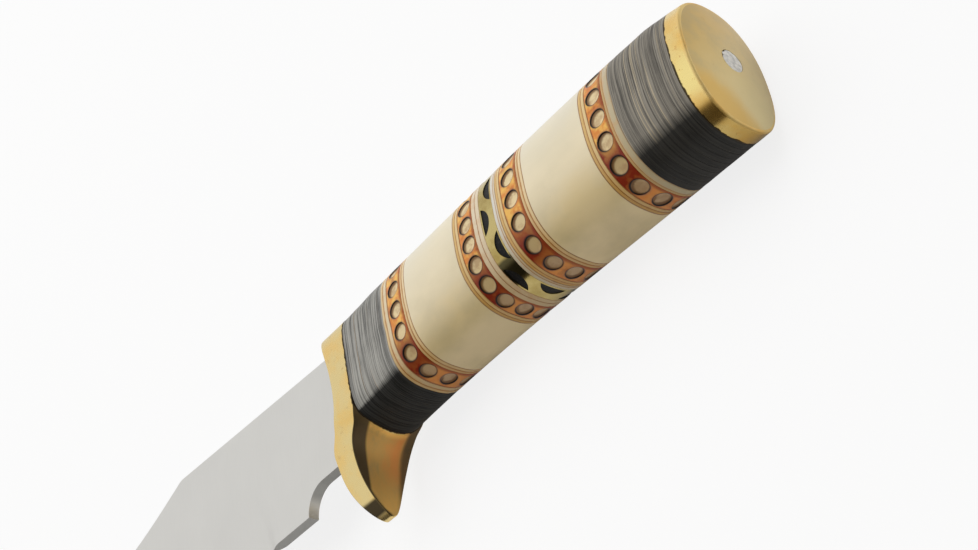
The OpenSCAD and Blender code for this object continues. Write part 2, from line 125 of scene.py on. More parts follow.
class Field:
    """A value socket that takes part in Python expressions and adds the Math nodes they need."""

    def __init__(self, nodes: "Nodes", socket: bpy.types.NodeSocket) -> None:
        """Wraps a socket.

        Args:
            nodes: the tree that the socket is in.
            socket: an output that holds one value.
        """
        self.nodes = nodes
        self.socket = socket

    def _math(self, operation: str, *values: "Field | float", clamp: bool = False) -> "Field":
        """Adds one Math node.

        Args:
            operation: the node's operation.
            values: its inputs, in order.
            clamp: whether the result is kept between 0 and 1.

        Returns:
            The node's result.
        """
        settings = {"operation": operation, "use_clamp": clamp}
        return self.nodes.value("ShaderNodeMath", settings, dict(enumerate(values)))

    def __add__(self, other: "Field | float") -> "Field":
        """Adds."""
        return self._math("ADD", self, other)

    def __radd__(self, other: float) -> "Field":
        """Adds, from the right."""
        return self._math("ADD", other, self)

    def __sub__(self, other: "Field | float") -> "Field":
        """Subtracts."""
        return self._math("SUBTRACT", self, other)

    def __rsub__(self, other: float) -> "Field":
        """Subtracts, from the right."""
        return self._math("SUBTRACT", other, self)

    def __mul__(self, other: "Field | float") -> "Field":
        """Multiplies."""
        return self._math("MULTIPLY", self, other)

    def __rmul__(self, other: float) -> "Field":
        """Multiplies, from the right."""
        return self._math("MULTIPLY", other, self)

    def __truediv__(self, other: "Field | float") -> "Field":
        """Divides."""
        return self._math("DIVIDE", self, other)

    def __abs__(self) -> "Field":
        """Drops the sign."""
        return self._math("ABSOLUTE", self)

    def clamp(self) -> "Field":
        """Keeps the value between 0 and 1."""
        return self._math("ADD", self, 0.0, clamp=True)

    def highest(self, other: "Field | float") -> "Field":
        """Takes the larger of two values."""
        return self._math("MAXIMUM", self, other)

    def step(self, low: float, high: float) -> "Field":
        """Goes smoothly from 0 at low to 1 at high, or down if low is the larger.

        Args:
            low: the value that gives 0.
            high: the value that gives 1.

        Returns:
            The step.
        """
        if low > high:
            return 1.0 - self.step(high, low)
        settings = {"interpolation_type": "SMOOTHSTEP"}
        inputs = {"Value": self, "From Min": low, "From Max": high}
        return self.nodes.value("ShaderNodeMapRange", settings, inputs)

    def band(self, middle: float, half: float) -> "Field":
        """Is 1 at a middle value and falls smoothly to 0 at half a width from it."""
        return abs(self - middle).step(half, 0.0)


class Nodes:
    """Adds nodes to one node tree."""

    COLOUR_IN = {"factor": 0, "a": 6, "b": 7}
    COLOUR_OUT = 2

    def __init__(self, tree: bpy.types.NodeTree) -> None:
        """Starts from an empty tree."""
        self.tree = tree
        tree.nodes.clear()

    def add(self, kind: str, settings: dict | None = None, inputs: dict | None = None) -> bpy.types.Node:
        """Adds one node.

        Args:
            kind: the node's type.
            settings: its properties, which are set first. "stops" holds a ramp's stops.
            inputs: values or links of its sockets, by name or number.

        Returns:
            The node.
        """
        node = self.tree.nodes.new(kind)
        for name, setting in (settings or {}).items():
            if name == "stops":
                self._stops(node.color_ramp, setting)
            else:
                setattr(node, name, setting)
        for name, value in (inputs or {}).items():
            socket = node.inputs[name]
            value = value.socket if isinstance(value, Field) else value
            if isinstance(value, bpy.types.NodeSocket):
                self.tree.links.new(value, socket)
            elif isinstance(value, tuple) and socket.type == "RGBA":
                socket.default_value = (*value, 1.0)
            else:
                socket.default_value = value
        return node

    def _stops(self, ramp: bpy.types.ColorRamp, stops: Sequence[tuple[float, Colour]]) -> None:
        """Sets the stops of a colour ramp.

        Args:
            ramp: the ramp.
            stops: positions and colours, in order.
        """
        while len(ramp.elements) < len(stops):
            ramp.elements.new(1.0)
        for element, (position, colour) in zip(ramp.elements, stops):
            element.position = position
            element.color = (*colour, 1.0)

    def value(self, kind: str, settings: dict | None = None, inputs: dict | None = None) -> Field:
        """Adds a node and wraps its first output."""
        return Field(self, self.add(kind, settings, inputs).outputs[0])

    def attribute(self, name: str) -> Field:
        """Reads a value that the mesh holds at its points."""
        node = self.add("ShaderNodeAttribute", {"attribute_name": name})
        return Field(self, node.outputs["Fac"])

    def from_edge(self) -> Field:
        """Gives the share of the way round the handle from the edge side, up to 0.5 at the spine."""
        return abs(self.attribute("turn") - 0.5)

    def place(self, stretch: Vec = (1.0, 1.0, 1.0), at: Vec = (0.0, 0.0, 0.0)) -> bpy.types.NodeSocket:
        """Gives the place on the knife in millimetres.

        Args:
            stretch: how much each axis is multiplied, so that a small value draws marks out.
            at: an offset that makes one piece's marks differ from another's.

        Returns:
            The vector.
        """
        where = self.add("ShaderNodeTexCoord").outputs["Object"]
        scale = tuple(s / MM for s in stretch)
        inputs = {0: where, 1: scale, 2: at}
        return self.add("ShaderNodeVectorMath", {"operation": "MULTIPLY_ADD"}, inputs).outputs[0]

    def ray(self, kind: str) -> Field:
        """Tells whether the surface is met by a ray of a kind."""
        return Field(self, self.add("ShaderNodeLightPath").outputs[f"Is {kind} Ray"])

    def facing(self, way: Vec) -> Field:
        """Tells how far the surface faces a way, from -1 to 1."""
        return self.part(self.add("ShaderNodeTexCoord").outputs["Normal"], way)

    def towards(self, way: Vec) -> Field:
        """Tells how many millimetres the place lies in a way."""
        return self.part(self.place(), way)

    def part(self, vector: bpy.types.NodeSocket, way: Vec) -> Field:
        """Gives a vector's part in a way."""
        node = self.add("ShaderNodeVectorMath", {"operation": "DOT_PRODUCT"}, {0: vector, 1: way})
        return Field(self, node.outputs["Value"])

    def noise(self, scale: float, detail: float = 3.0, rough: float = 0.55, **place: Vec) -> Field:
        """Gives a noise of about 0 to 1.

        Args:
            scale: its cycles per millimetre.
            detail: its octaves.
            rough: how strong the fine octaves are.
            place: the stretch and offset of its place.

        Returns:
            The noise.
        """
        inputs = {"Vector": self.place(**place), "Scale": scale, "Detail": detail, "Roughness": rough}
        return self.value("ShaderNodeTexNoise", {}, inputs)

    def ramp(self, factor: Field, stops: Sequence[tuple[float, Colour]]) -> bpy.types.NodeSocket:
        """Turns a value into a colour by a ramp."""
        return self.add("ShaderNodeValToRGB", {"stops": stops}, {"Fac": factor}).outputs["Color"]

    def blend(self, factor: Field, a: Paint, b: Paint, how: str = "MIX") -> bpy.types.NodeSocket:
        """Mixes two colours.

        Args:
            factor: 0 for the first and 1 for the second.
            a: the first colour, or its socket.
            b: the second.
            how: the blend type.

        Returns:
            The mixed colour.
        """
        settings = {"data_type": "RGBA", "blend_type": how, "clamp_factor": True}
        names = self.COLOUR_IN
        inputs = {names["factor"]: factor, names["a"]: a, names["b"]: b}
        return self.add("ShaderNodeMix", settings, inputs).outputs[self.COLOUR_OUT]

    def bump(self, height: Field, distance: float, strength: float = 1.0) -> bpy.types.NodeSocket:
        """Gives the normal of a surface with small heights on it.

        Args:
            height: the height, from 0 to 1.
            distance: how much a height of 1 stands out, in millimetres.
            strength: how strongly it shades.

        Returns:
            The normal.
        """
        inputs = {"Strength": strength, "Distance": distance * MM, "Height": height}
        return self.add("ShaderNodeBump", {}, inputs).outputs["Normal"]


class Finish:
    """A surface finish: a material that is made once and shared by its pieces."""

    name = "finish"

    def __init__(self) -> None:
        """Makes the material and its tree."""
        self.material = bpy.data.materials.new(self.name)
        self.material.use_nodes = True
        self.nodes = Nodes(self.material.node_tree)
        self.paint()

    def paint(self) -> None:
        """Adds the finish's nodes. Each finish has its own."""
        raise NotImplementedError

    def surface(self, **inputs: object) -> None:
        """Adds the shader and the output.

        Args:
            inputs: the shader's sockets, with an underscore for each space.
        """
        named = {name.replace("_", " "): value for name, value in inputs.items()}
        shader = self.nodes.add("ShaderNodeBsdfPrincipled", {}, named)
        self.nodes.add("ShaderNodeOutputMaterial", {}, {"Surface": shader.outputs[0]})


class BrassFinish(Finish):
    """Cast brass, polished by hand, with a little warm tarnish and a ragged line at the discs."""

    name = "polished_brass"
    pale: Colour = (0.88, 0.66, 0.26)
    warm: Colour = (0.88, 0.56, 0.16)
    tarnish: Colour = (0.40, 0.20, 0.06)
    soot: Colour = (0.030, 0.020, 0.012)
    roughness = 0.18
    warm_from = 0.36
    seam_reach = 0.40
    # shade colours the painted shade below; bright and bright_way give the painted highlight
    shade: Colour = (0.66, 0.63, 0.54)
    bright: Colour = (1.0, 0.84, 0.34)
    specked: Colour = (0.66, 0.33, 0.085)
    bright_way: Vec = (0.0, -0.24, 0.97)
    specked_way: Vec = (0.0, 0.6, 0.8)

    def paint(self) -> None:
        """Adds broad warm clouds, small tarnish spots, polishing lines and the black seam."""
        nodes = self.nodes
        clouds = nodes.noise(0.11, detail=4.0, rough=0.6, at=(3.0, 8.0, 1.0))
        spots = nodes.noise(0.50, detail=4.0, rough=0.7).step(0.60, 0.78)
        lines = nodes.noise(1.6, detail=4.0, rough=0.7, stretch=(1.0, 0.22, 0.22))
        colour = nodes.blend(clouds.step(self.warm_from, self.warm_from + 0.24), self.pale, self.warm)
        colour = nodes.blend(spots * 0.40, colour, self.tarnish)
        colour, stain = self.patina(colour, clouds)
        rag = nodes.noise(0.75, detail=2.0, rough=0.6, at=(1.0, 4.0, 7.0))
        seam = nodes.attribute("seam")
        ragged = seam + rag * self.seam_reach * 2.0 - self.seam_reach
        near = ragged.step(self.seam_reach, 0.6 * self.seam_reach)
        colour = nodes.blend(near * 0.94, colour, self.soot)
        rough = self.roughness + lines * 0.10 + spots * 0.10 + near * 0.3 + stain * 0.22
        self.surface(
            Base_Color=colour, Metallic=1.0 - stain * 0.45, Roughness=rough,
            Normal=nodes.bump(lines, distance=0.012, strength=0.35),
        )

    def patina(self, colour: Paint, clouds: Field) -> tuple[Paint, Field | float]:
        """Adds painted shade below, a painted highlight on the seen side's corner, tarnish specks above and
        duller metal at the crease.

        Args:
            colour: the colour so far.
            clouds: the finish's broad noise.

        Returns:
            The new colour, and how strongly it is stained.
        """
        nodes = self.nodes
        # Painted shade: darker where the brass faces the edge side
        below = nodes.facing(TO_EDGE).step(0.45, 0.85)
        colour = nodes.blend(below, colour, self.shade, "MULTIPLY")
        # Painted highlight on the seen side's corner
        painted_highlight = nodes.facing(self.bright_way).step(0.955, 1.0)
        colour = nodes.blend(painted_highlight * (0.5 + clouds * 0.6), colour, self.bright)
        specks = nodes.noise(0.8, detail=3.0, rough=0.7, at=(6.0, 1.0, 3.0)).step(0.60, 0.70)
        above = nodes.facing(self.specked_way).step(0.2, 0.7)
        colour = nodes.blend(specks * above * 0.55, colour, self.specked)
        return colour, nodes.facing(TO_POMMEL).step(0.08, 0.40)


class GuardBrassFinish(BrassFinish):
    """The guard's brass, which is browned in the cove where no cloth reaches, with reflections painted on
    it: dark along the cove's rims and near the tip, golden towards the tip.
    """

    name = "guard_brass"
    pale: Colour = (0.80, 0.635, 0.295)
    warm: Colour = (0.86, 0.595, 0.215)
    brown: Colour = (0.70, 0.415, 0.118)
    orange: Colour = (0.86, 0.36, 0.09)
    gold: Colour = (1.0, 0.60, 0.15)
    olive: Colour = (0.46, 0.34, 0.14)
    # dark colours the painted dark reflections
    dark: Colour = (0.062, 0.046, 0.024)
    roughness = 0.21
    warm_from = 0.42

    def patina(self, colour: Paint, clouds: Field) -> tuple[Paint, Field | float]:
        """Browns the cove, orange further out and golden at the discs, and paints reflections: golden
        towards the tip, dark along the rims, a dark stripe along the seen rim and a dark patch near the
        tip.

        Args:
            colour: the colour so far.
            clouds: the finish's broad noise, which is not used here.

        Returns:
            The new colour, and how strongly it is stained.
        """
        nodes = self.nodes
        cove, rim, down, stripe, blotch, far = (
            nodes.attribute(name) for name in ("cove", "rim", "down", "stripe", "blotch", "far")
        )
        streaks = nodes.noise(0.22, detail=4.0, rough=0.6, stretch=(1.0, 0.45, 1.0), at=(2.0, 0.0, 6.0))
        brown = nodes.blend(streaks.step(0.50, 0.70) * 0.45, self.brown, self.orange)
        brown = nodes.blend(streaks.step(0.50, 0.34) * 0.55, brown, self.olive)
        brown = nodes.blend((blotch * (0.2 + streaks * 1.3)).clamp(), brown, self.orange)
        # Painted brighter reflection: golden towards the quillon's tip
        brown = nodes.blend(down.step(0.35, 0.95) * 0.8, brown, self.gold)
        gold = nodes.attribute("seam").step(2.6, 0.8) * (streaks - far * 0.25).step(0.28, 0.46)
        brown = nodes.blend(gold, brown, self.gold)
        # Painted dark reflection along the cove's rims, reaching further on the far side
        far_rim_reflection = far * (1 - down) * 6.0
        brown = nodes.blend((rim + streaks * 0.8 - far_rim_reflection).step(2.0, -1.8) * 0.80, brown, self.dark)
        patina_and_sheen = cove * (rim + streaks * 0.3).step(0.15, 0.45)
        colour = nodes.blend(patina_and_sheen, colour, brown)
        # Painted dark reflections: the stripe along the seen rim and the patch near the tip
        return nodes.blend(stripe, colour, self.dark), patina_and_sheen


class SatinBrassFinish(BrassFinish):
    """Brass rubbed to a satin, as on the pommel's end."""

    name = "satin_brass"
    pale: Colour = (0.53, 0.39, 0.165)
    warm: Colour = (0.62, 0.42, 0.135)
    light: Colour = (0.80, 0.68, 0.38)
    golden: Colour = (0.73, 0.48, 0.145)
    sheen_way: Vec = (0.0, -0.75, -0.66)
    golden_way: Vec = (0.0, -0.80, 0.60)
    roughness = 0.30

    def patina(self, colour: Paint, clouds: Field) -> tuple[Paint, Field | float]:
        """Paints a sheen that lightens the face towards the edge side and the far face, and makes a golden
        patch beside the edge side.

        Args:
            colour: the colour so far.
            clouds: the finish's broad noise.

        Returns:
            The new colour. Nothing dulls the metal.
        """
        nodes = self.nodes
        # Painted sheen: lighter towards the edge side and the far face
        painted_highlight = nodes.towards(self.sheen_way) + clouds * 8.0
        colour = nodes.blend(painted_highlight.step(-24.0, 4.0) * 0.95, colour, self.light)
        golden = nodes.towards(self.golden_way) + clouds * 6.0
        return nodes.blend(golden.step(10.5, 15.5) * 0.9, colour, self.golden), 0.0


class BandBrassFinish(BrassFinish):
    """The thinner, greener brass of the pierced band, with a dark reflection painted nearly black along one
    side.
    """

    name = "band_brass"
    pale: Colour = (0.60, 0.485, 0.20)
    warm: Colour = (0.42, 0.31, 0.10)
    # black colours the painted dark reflection
    black: Colour = (0.045, 0.042, 0.022)
    roughness = 0.10
    seam_reach = 0.01

    def patina(self, colour: Paint, clouds: Field) -> tuple[Paint, Field | float]:
        """Paints a dark reflection on the corner beside the edge side.

        Args:
            colour: the colour so far.
            clouds: the finish's broad noise.

        Returns:
            The new colour. Nothing dulls the metal.
        """
        nodes = self.nodes
        # Painted dark reflection on the corner beside the edge side
        corner = nodes.from_edge() + clouds * 0.03 - 0.015
        dark = corner.step(0.060, 0.078) * corner.step(0.135, 0.122)
        return nodes.blend(dark * 0.9, colour, self.black), 0.0


class SteelFinish(Finish):
    """Steel ground to a satin, with fine lines across the blade."""

    name = "satin_steel"
    light: Colour = (0.78, 0.77, 0.735)
    dark: Colour = (0.70, 0.69, 0.66)
    # under colours the painted shade
    under: Colour = (0.36, 0.355, 0.335)

    def paint(self) -> None:
        """Adds grinding lines, faint clouds, painted shade on the faces towards the edge side and a
        slightly uneven gloss.
        """
        nodes = self.nodes
        lines = nodes.noise(3.2, detail=5.0, rough=0.75, stretch=(1.0, 0.05, 1.0))
        clouds = nodes.noise(0.05, detail=2.0)
        colour = nodes.blend(clouds * 0.7 + lines * 0.3, self.light, self.dark)
        # Painted shade: darker where the steel faces the edge side
        colour = nodes.blend(nodes.facing(TO_EDGE).step(0.4, 0.8), colour, self.under)
        self.surface(
            Base_Color=colour, Metallic=1.0, Roughness=0.36 + lines * 0.14,
            Normal=nodes.bump(lines, distance=0.006, strength=0.5),
        )


class PeenFinish(Finish):
    """The hammered end of the tang, flattened and rubbed bright."""

    name = "peened_steel"
    light: Colour = (0.82, 0.80, 0.755)
    dark: Colour = (0.58, 0.57, 0.545)

    def paint(self) -> None:
        """Adds the dull facets that the hammer left."""
        nodes = self.nodes
        dents = nodes.noise(0.9, detail=3.0)
        colour = nodes.blend(dents.step(0.35, 0.7), self.light, self.dark)
        self.surface(
            Base_Color=colour, Metallic=1.0, Roughness=0.42 + dents * 0.12,
            Normal=nodes.bump(dents, distance=0.05, strength=0.6),
        )


class DiscFinish(Finish):
    """Black discs with fine grain, whose flat sides carry a painted grey sheen and whose edge side stays
    black.
    """

    name = "black_discs"
    black: Colour = (0.003, 0.003, 0.003)
    shadow: Colour = (0.095, 0.094, 0.090)
    grey: Colour = (0.42, 0.41, 0.375)
    tan: Colour = (0.42, 0.31, 0.19)
    grain_at: Vec = (0.0, 0.0, 0.0)
    tan_from = 0.66
    sheen_from = 0.106
    blur = 0.005
    blur_growth = 0.0013
    gloss = 0.09

    def paint(self) -> None:
        """Adds the grain of the layers, the painted sheen on the flat sides and the tan streaks."""
        nodes = self.nodes
        fine = nodes.noise(3.0, detail=3.0, rough=0.8, stretch=(1.0, 0.010, 0.010), at=self.grain_at)
        broad = nodes.noise(1.6, detail=4.0, rough=0.85, stretch=(1.0, 0.045, 0.045), at=self.grain_at)
        patch = nodes.noise(0.22, detail=4.0, rough=0.7)
        streak = nodes.noise(2.6, detail=2.0, rough=0.5, stretch=(1.0, 0.008, 0.008), at=(40.0, 3.0, 5.0))
        round_it = nodes.from_edge()
        blur = nodes.attribute("back") * self.blur_growth + self.blur
        # Painted sheen: grey grain on the flat sides, black on the edge side
        painted_sheen = ((round_it + fine * 0.01 - self.sheen_from) / blur).clamp()
        grain = (fine.step(0.40, 0.62) * 0.8 + broad.step(0.35, 0.70) * 0.3 + patch * 0.4 - 0.22).clamp()
        # Painted sheen, lighter near its border beside the edge side
        grain = (grain + round_it.step(0.26, 0.13) * 0.25).clamp()
        patina_and_sheen = nodes.blend(grain, self.shadow, self.grey)
        patina_and_sheen = nodes.blend(streak.step(self.tan_from, self.tan_from + 0.07) * 0.8, patina_and_sheen, self.tan)
        colour = nodes.blend(grain * 0.10, self.black, self.grey)
        colour = nodes.blend(painted_sheen, colour, patina_and_sheen)
        self.surface(
            Base_Color=colour, Roughness=0.38 + fine * 0.16, Specular_IOR_Level=self.gloss,
            Normal=nodes.bump(fine * 0.7 + broad * 0.3, distance=0.05, strength=0.5),
        )


class RearDiscFinish(DiscFinish):
    """The rear stack, whose grain is browner and has a few bright lines."""

    name = "rear_black_discs"
    black: Colour = (0.013, 0.013, 0.012)
    shadow: Colour = (0.078, 0.071, 0.060)
    grey: Colour = (0.29, 0.265, 0.22)
    tan: Colour = (0.50, 0.42, 0.29)
    grain_at: Vec = (17.0, 5.0, 9.0)
    tan_from = 0.62
    blur = 0.032
    blur_growth = 0.0
    gloss = 0.14


class BoneFinish(Finish):
    """Polished bone, ivory towards the spine and olive towards the edge side, where the olive clouds are
    painted shade, with dark pores.
    """

    name = "polished_bone"
    tones: tuple[tuple[float, Colour], ...] = (
        (0.02, (0.90, 0.72, 0.41)), (0.10, (0.84, 0.665, 0.35)), (0.18, (0.86, 0.74, 0.505)),
        (0.30, (0.82, 0.735, 0.545)), (0.42, (0.73, 0.685, 0.565)),
    )
    olive: Colour = (0.50, 0.41, 0.21)
    pore: Colour = (0.30, 0.21, 0.10)
    rust: Colour = (0.33, 0.14, 0.045)

    def paint(self) -> None:
        """Adds the tones round the handle, clouds with painted olive shade towards the edge side, faint
        grain and pores.
        """
        nodes = self.nodes
        clouds = nodes.noise(0.085, detail=4.0, rough=0.5, stretch=(0.8, 1.0, 1.0), at=(3.0, 1.0, 2.0))
        grain = nodes.noise(0.7, detail=3.0, rough=0.5, stretch=(0.2, 1.0, 1.0))
        pores = nodes.noise(0.42, detail=5.0, rough=0.75, at=(9.0, 2.0, 4.0)).step(0.70, 0.80)
        round_it = nodes.from_edge()
        colour = nodes.ramp(round_it + clouds * 0.16 - 0.08, self.tones)
        # Painted shade: olive clouds towards the edge side
        colour = nodes.blend(clouds.step(0.40, 0.72) * round_it.step(0.34, 0.12) * 0.42, colour, self.olive)
        colour = nodes.blend(grain * 0.10, colour, self.olive)
        colour = nodes.blend(pores * 0.45, colour, self.pore)
        seam = abs(nodes.attribute("along") - 0.5).step(0.489, 0.496)
        colour = nodes.blend(seam * 0.75, colour, self.rust)
        self.surface(
            Base_Color=colour, Roughness=0.27 + grain * 0.06, Specular_IOR_Level=0.35,
            Normal=nodes.bump(grain, distance=0.008, strength=0.4),
        )


class RingFinish(Finish):
    """A thin ring of cream bone with a scribed line that the stain has crept into."""

    name = "scribed_bone"
    front: Colour = (0.75, 0.56, 0.295)
    rear: Colour = (0.79, 0.63, 0.36)
    stain: Colour = (0.62, 0.31, 0.085)
    rust: Colour = (0.38, 0.13, 0.035)
    age: Colour = (0.86, 0.74, 0.55)
    line_at = 0.46
    line_half = 0.10
    halo = 0.80
    seams = 0.75

    def paint(self) -> None:
        """Adds the two tones, the scribed line with its halo, the stained seams and painted shade towards
        the edge side.
        """
        nodes = self.nodes
        along = nodes.attribute("along")
        wave = nodes.noise(0.25, detail=2.0)
        clouds = nodes.noise(0.35, detail=3.0)
        place = along + wave * 0.08 - 0.04
        colour = nodes.blend(place.step(self.line_at - 0.1, self.line_at + 0.1), self.front, self.rear)
        colour = nodes.blend(clouds.step(0.5, 0.75) * 0.35, colour, self.stain)
        halo = place.band(self.line_at, 0.26) * (0.25 + clouds * 1.1).clamp()
        colour = nodes.blend(halo * self.halo, colour, self.stain)
        line = place.band(self.line_at, self.line_half) * (0.45 + clouds * 0.7)
        edge = abs(along - 0.5).step(0.36, 0.5) * self.seams
        colour = nodes.blend(line.highest(edge).clamp(), colour, self.rust)
        # Painted shade: darker towards the edge side
        low = nodes.from_edge() + clouds * 0.1
        colour = nodes.blend(low.step(0.30, 0.10), colour, self.age, "MULTIPLY")
        self.surface(
            Base_Color=colour, Roughness=0.27, Specular_IOR_Level=0.3,
            Normal=nodes.bump(clouds, distance=0.01, strength=0.3),
        )


class CollarFinish(RingFinish):
    """The collar behind the front discs: cream, an amber stripe and ivory."""

    name = "collar_bone"
    front: Colour = (0.74, 0.60, 0.345)
    rear: Colour = (0.72, 0.61, 0.395)
    line_at = 0.40
    line_half = 0.07
    halo = 0.75


class RearCollarFinish(RingFinish):
    """The collar before the rear discs: plain ivory that darkens to amber towards the dotted ring."""

    name = "rear_collar_bone"
    front: Colour = (0.56, 0.385, 0.17)
    rear: Colour = (0.51, 0.425, 0.265)
    age: Colour = (1.0, 0.98, 0.90)
    line_at = 0.28
    line_half = 0.04
    halo = 0.35
    seams = 0.35


class OchreRingFinish(RingFinish):
    """The thin rings that took more stain."""

    name = "ochre_bone"
    front: Colour = (0.70, 0.47, 0.175)
    rear: Colour = (0.73, 0.55, 0.26)
    stain: Colour = (0.62, 0.33, 0.09)
    halo = 0.30


class IvoryRingFinish(RingFinish):
    """The ivory rings ahead of the brass band."""

    name = "ivory_ring"
    front: Colour = (0.76, 0.64, 0.44)
    rear: Colour = (0.74, 0.63, 0.45)
    line_at = 0.0
    halo = 0.6


class SilverRingFinish(RingFinish):
    """The palest ring, just behind the brass band."""

    name = "silver_ring"
    front: Colour = (0.70, 0.68, 0.60)
    rear: Colour = (0.70, 0.65, 0.50)
    line_at = 0.62
    halo = 0.35


class StainedFinish(Finish):
    """Bone stained amber to red-brown, burnt round pits whose floors stay pale, with painted shade on one
    side of each pit.
    """

    name = "stained_bone"
    amber: Colour = (0.74, 0.25, 0.040)
    honey: Colour = (0.88, 0.50, 0.105)
    red: Colour = (0.24, 0.022, 0.005)
    haze: Colour = (0.34, 0.20, 0.16)
    burnt: Colour = (0.010, 0.006, 0.004)
    scorch_and_shade: Colour = (0.20, 0.085, 0.025)
    floor: Colour = (0.80, 0.64, 0.36)
    ochre: Colour = (0.50, 0.34, 0.13)
    brown_floor: Colour = (0.58, 0.385, 0.21)
    dirt: Colour = (0.42, 0.24, 0.11)
    corner_at = 0.110

    def paint(self) -> None:
        """Adds the stain by place round the handle, then the burnt rims and the floors, with painted shade
        leaning the burn to one side of each pit.
        """
        nodes = self.nodes
        pit = nodes.attribute("pit")
        along = nodes.attribute("along")
        shade = nodes.attribute("shade")
        clouds = nodes.noise(0.20, detail=3.0, rough=0.6)
        drops = nodes.noise(0.42, detail=3.0, rough=0.6, at=(5.0, 5.0, 5.0))
        round_it = nodes.from_edge()
        # The stain is deepest on the corner beside the edge side, on both faces
        corner = abs(round_it - self.corner_at).step(0.085, 0.015)
        deep = (corner * (0.65 + clouds * 0.6) + clouds.step(0.52, 0.72) * 0.6).clamp()
        stain = nodes.blend(drops.step(0.38, 0.60), self.amber, self.honey)
        stain = nodes.blend(round_it.step(0.12, 0.05) * 0.8, stain, self.amber)
        stain = nodes.blend(pit.step(1.32, 1.02) * drops.step(0.62, 0.42) * 0.55, stain, self.haze)
        stain = nodes.blend(deep, stain, self.red)
        stain = nodes.blend((along + clouds * 0.1).step(0.84, 1.0) * 0.7, stain, self.red)
        stain = nodes.blend(along.step(0.08, 0.0) * 0.85, stain, self.red)
        floor = nodes.blend(round_it.step(0.12, 0.06), self.floor, self.brown_floor)
        floor = nodes.blend(corner * (0.55 + along * 0.25), floor, self.ochre)
        floor = nodes.blend(drops.step(0.44, 0.66) * 0.6, floor, self.dirt)
        # Scorch and painted shade on the floor, towards the shaded side of each pit
        floor = nodes.blend((pit + shade * 0.22 + drops * 0.3).step(0.86, 1.12) * 0.85, floor, self.scorch_and_shade)
        # Burn round each pit, leaned by painted shade to its shaded side: the rim, a dark crescent and soot
        # that is stronger at the corner
        rim = (pit.band(1.0, 0.14) * (1.1 + shade * 0.25)).clamp()
        burn_and_shade_crescent = (pit + shade * 0.07).step(0.94, 1.04) * pit.step(1.06, 0.99)
        soot = pit.step(1.28, 1.0) * (0.25 + corner * 0.5 + shade * 0.15) * pit.step(0.80, 1.0)
        colour = nodes.blend(pit.step(1.03, 0.97), stain, floor)
        colour = nodes.blend(rim.highest(burn_and_shade_crescent).highest(soot).clamp(), colour, self.burnt)
        self.surface(
            Base_Color=colour, Roughness=0.27 + drops * 0.08, Specular_IOR_Level=0.25,
            Normal=nodes.bump(clouds, distance=0.03, strength=0.4),
        )


class FillingFinish(Finish):
    """Black filling in the windows of the band, slightly grainy."""

    name = "black_filling"
    black: Colour = (0.004, 0.004, 0.004)
    grey: Colour = (0.045, 0.034, 0.022)

    def paint(self) -> None:
        """Adds the grains."""
        nodes = self.nodes
        grains = nodes.noise(2.2, detail=4.0, rough=0.7)
        colour = nodes.blend(grains.step(0.5, 0.8), self.black, self.grey)
        self.surface(
            Base_Color=colour, Roughness=0.45, Specular_IOR_Level=0.2,
            Normal=nodes.bump(grains, distance=0.06, strength=0.6),
        )


class ResinFinish(Finish):
    """The filler inside the bone, a brown resin with lighter chips."""

    name = "core_resin"
    brown: Colour = (0.20, 0.12, 0.06)
    chip: Colour = (0.42, 0.33, 0.20)

    def paint(self) -> None:
        """Adds the chips."""
        nodes = self.nodes
        chips = nodes.noise(0.6, detail=3.0).step(0.5, 0.65)
        colour = nodes.blend(chips, self.brown, self.chip)
        normal = nodes.bump(chips, distance=0.05, strength=0.4)
        self.surface(Base_Color=colour, Roughness=0.5, Normal=normal)


# Meshes


@dataclass
class Sheet:
    """Points in the knife's millimetres, their faces, and values held at the points."""

    points: np.ndarray
    faces: Faces
    values: dict[str, np.ndarray] = field(default_factory=dict)

    @classmethod
    def joined(cls, sheets: Iterable["Sheet"]) -> "Sheet":
        """Puts several sheets in one.

        Args:
            sheets: the sheets, which hold the same values.

        Returns:
            The one sheet.
        """
        sheets = list(sheets)
        starts = np.cumsum([0] + [len(s.points) for s in sheets])
        faces = [tuple(int(i + at) for i in f) for s, at in zip(sheets, starts) for f in s.faces]
        values = {k: np.concatenate([s.values[k] for s in sheets]) for k in sheets[0].values}
        return cls(np.concatenate([s.points for s in sheets]), faces, values)


def looped(rings: np.ndarray, closed: bool = True, flipped: bool = False, capped: bool = False) -> Faces:
    """Joins rings of points to a tube.

    Args:
        rings: an array of rings, points and coordinates.
        closed: whether the last ring is joined to the first.
        flipped: whether the faces look the other way.
        capped: whether the first and the last ring are filled.

    Returns:
        The tube's faces.
    """
    count, points = rings.shape[:2]
    last = count if closed else count - 1
    faces = [
        (a * points + i, a * points + j, b * points + j, b * points + i)
        for a in range(last)
        for b in [(a + 1) % count]
        for i in range(points)
        for j in [(i + 1) % points]
    ]
    if flipped:
        faces = [tuple(reversed(f)) for f in faces]
    if capped:
        faces += [tuple(range(points)), tuple(reversed(range((count - 1) * points, count * points)))]
    return faces


def walked_along(points: np.ndarray) -> np.ndarray:
    """Gives how far along a line of points each of them lies."""
    return np.concatenate([[0.0], np.cumsum(np.linalg.norm(np.diff(points, axis=0), axis=1))])


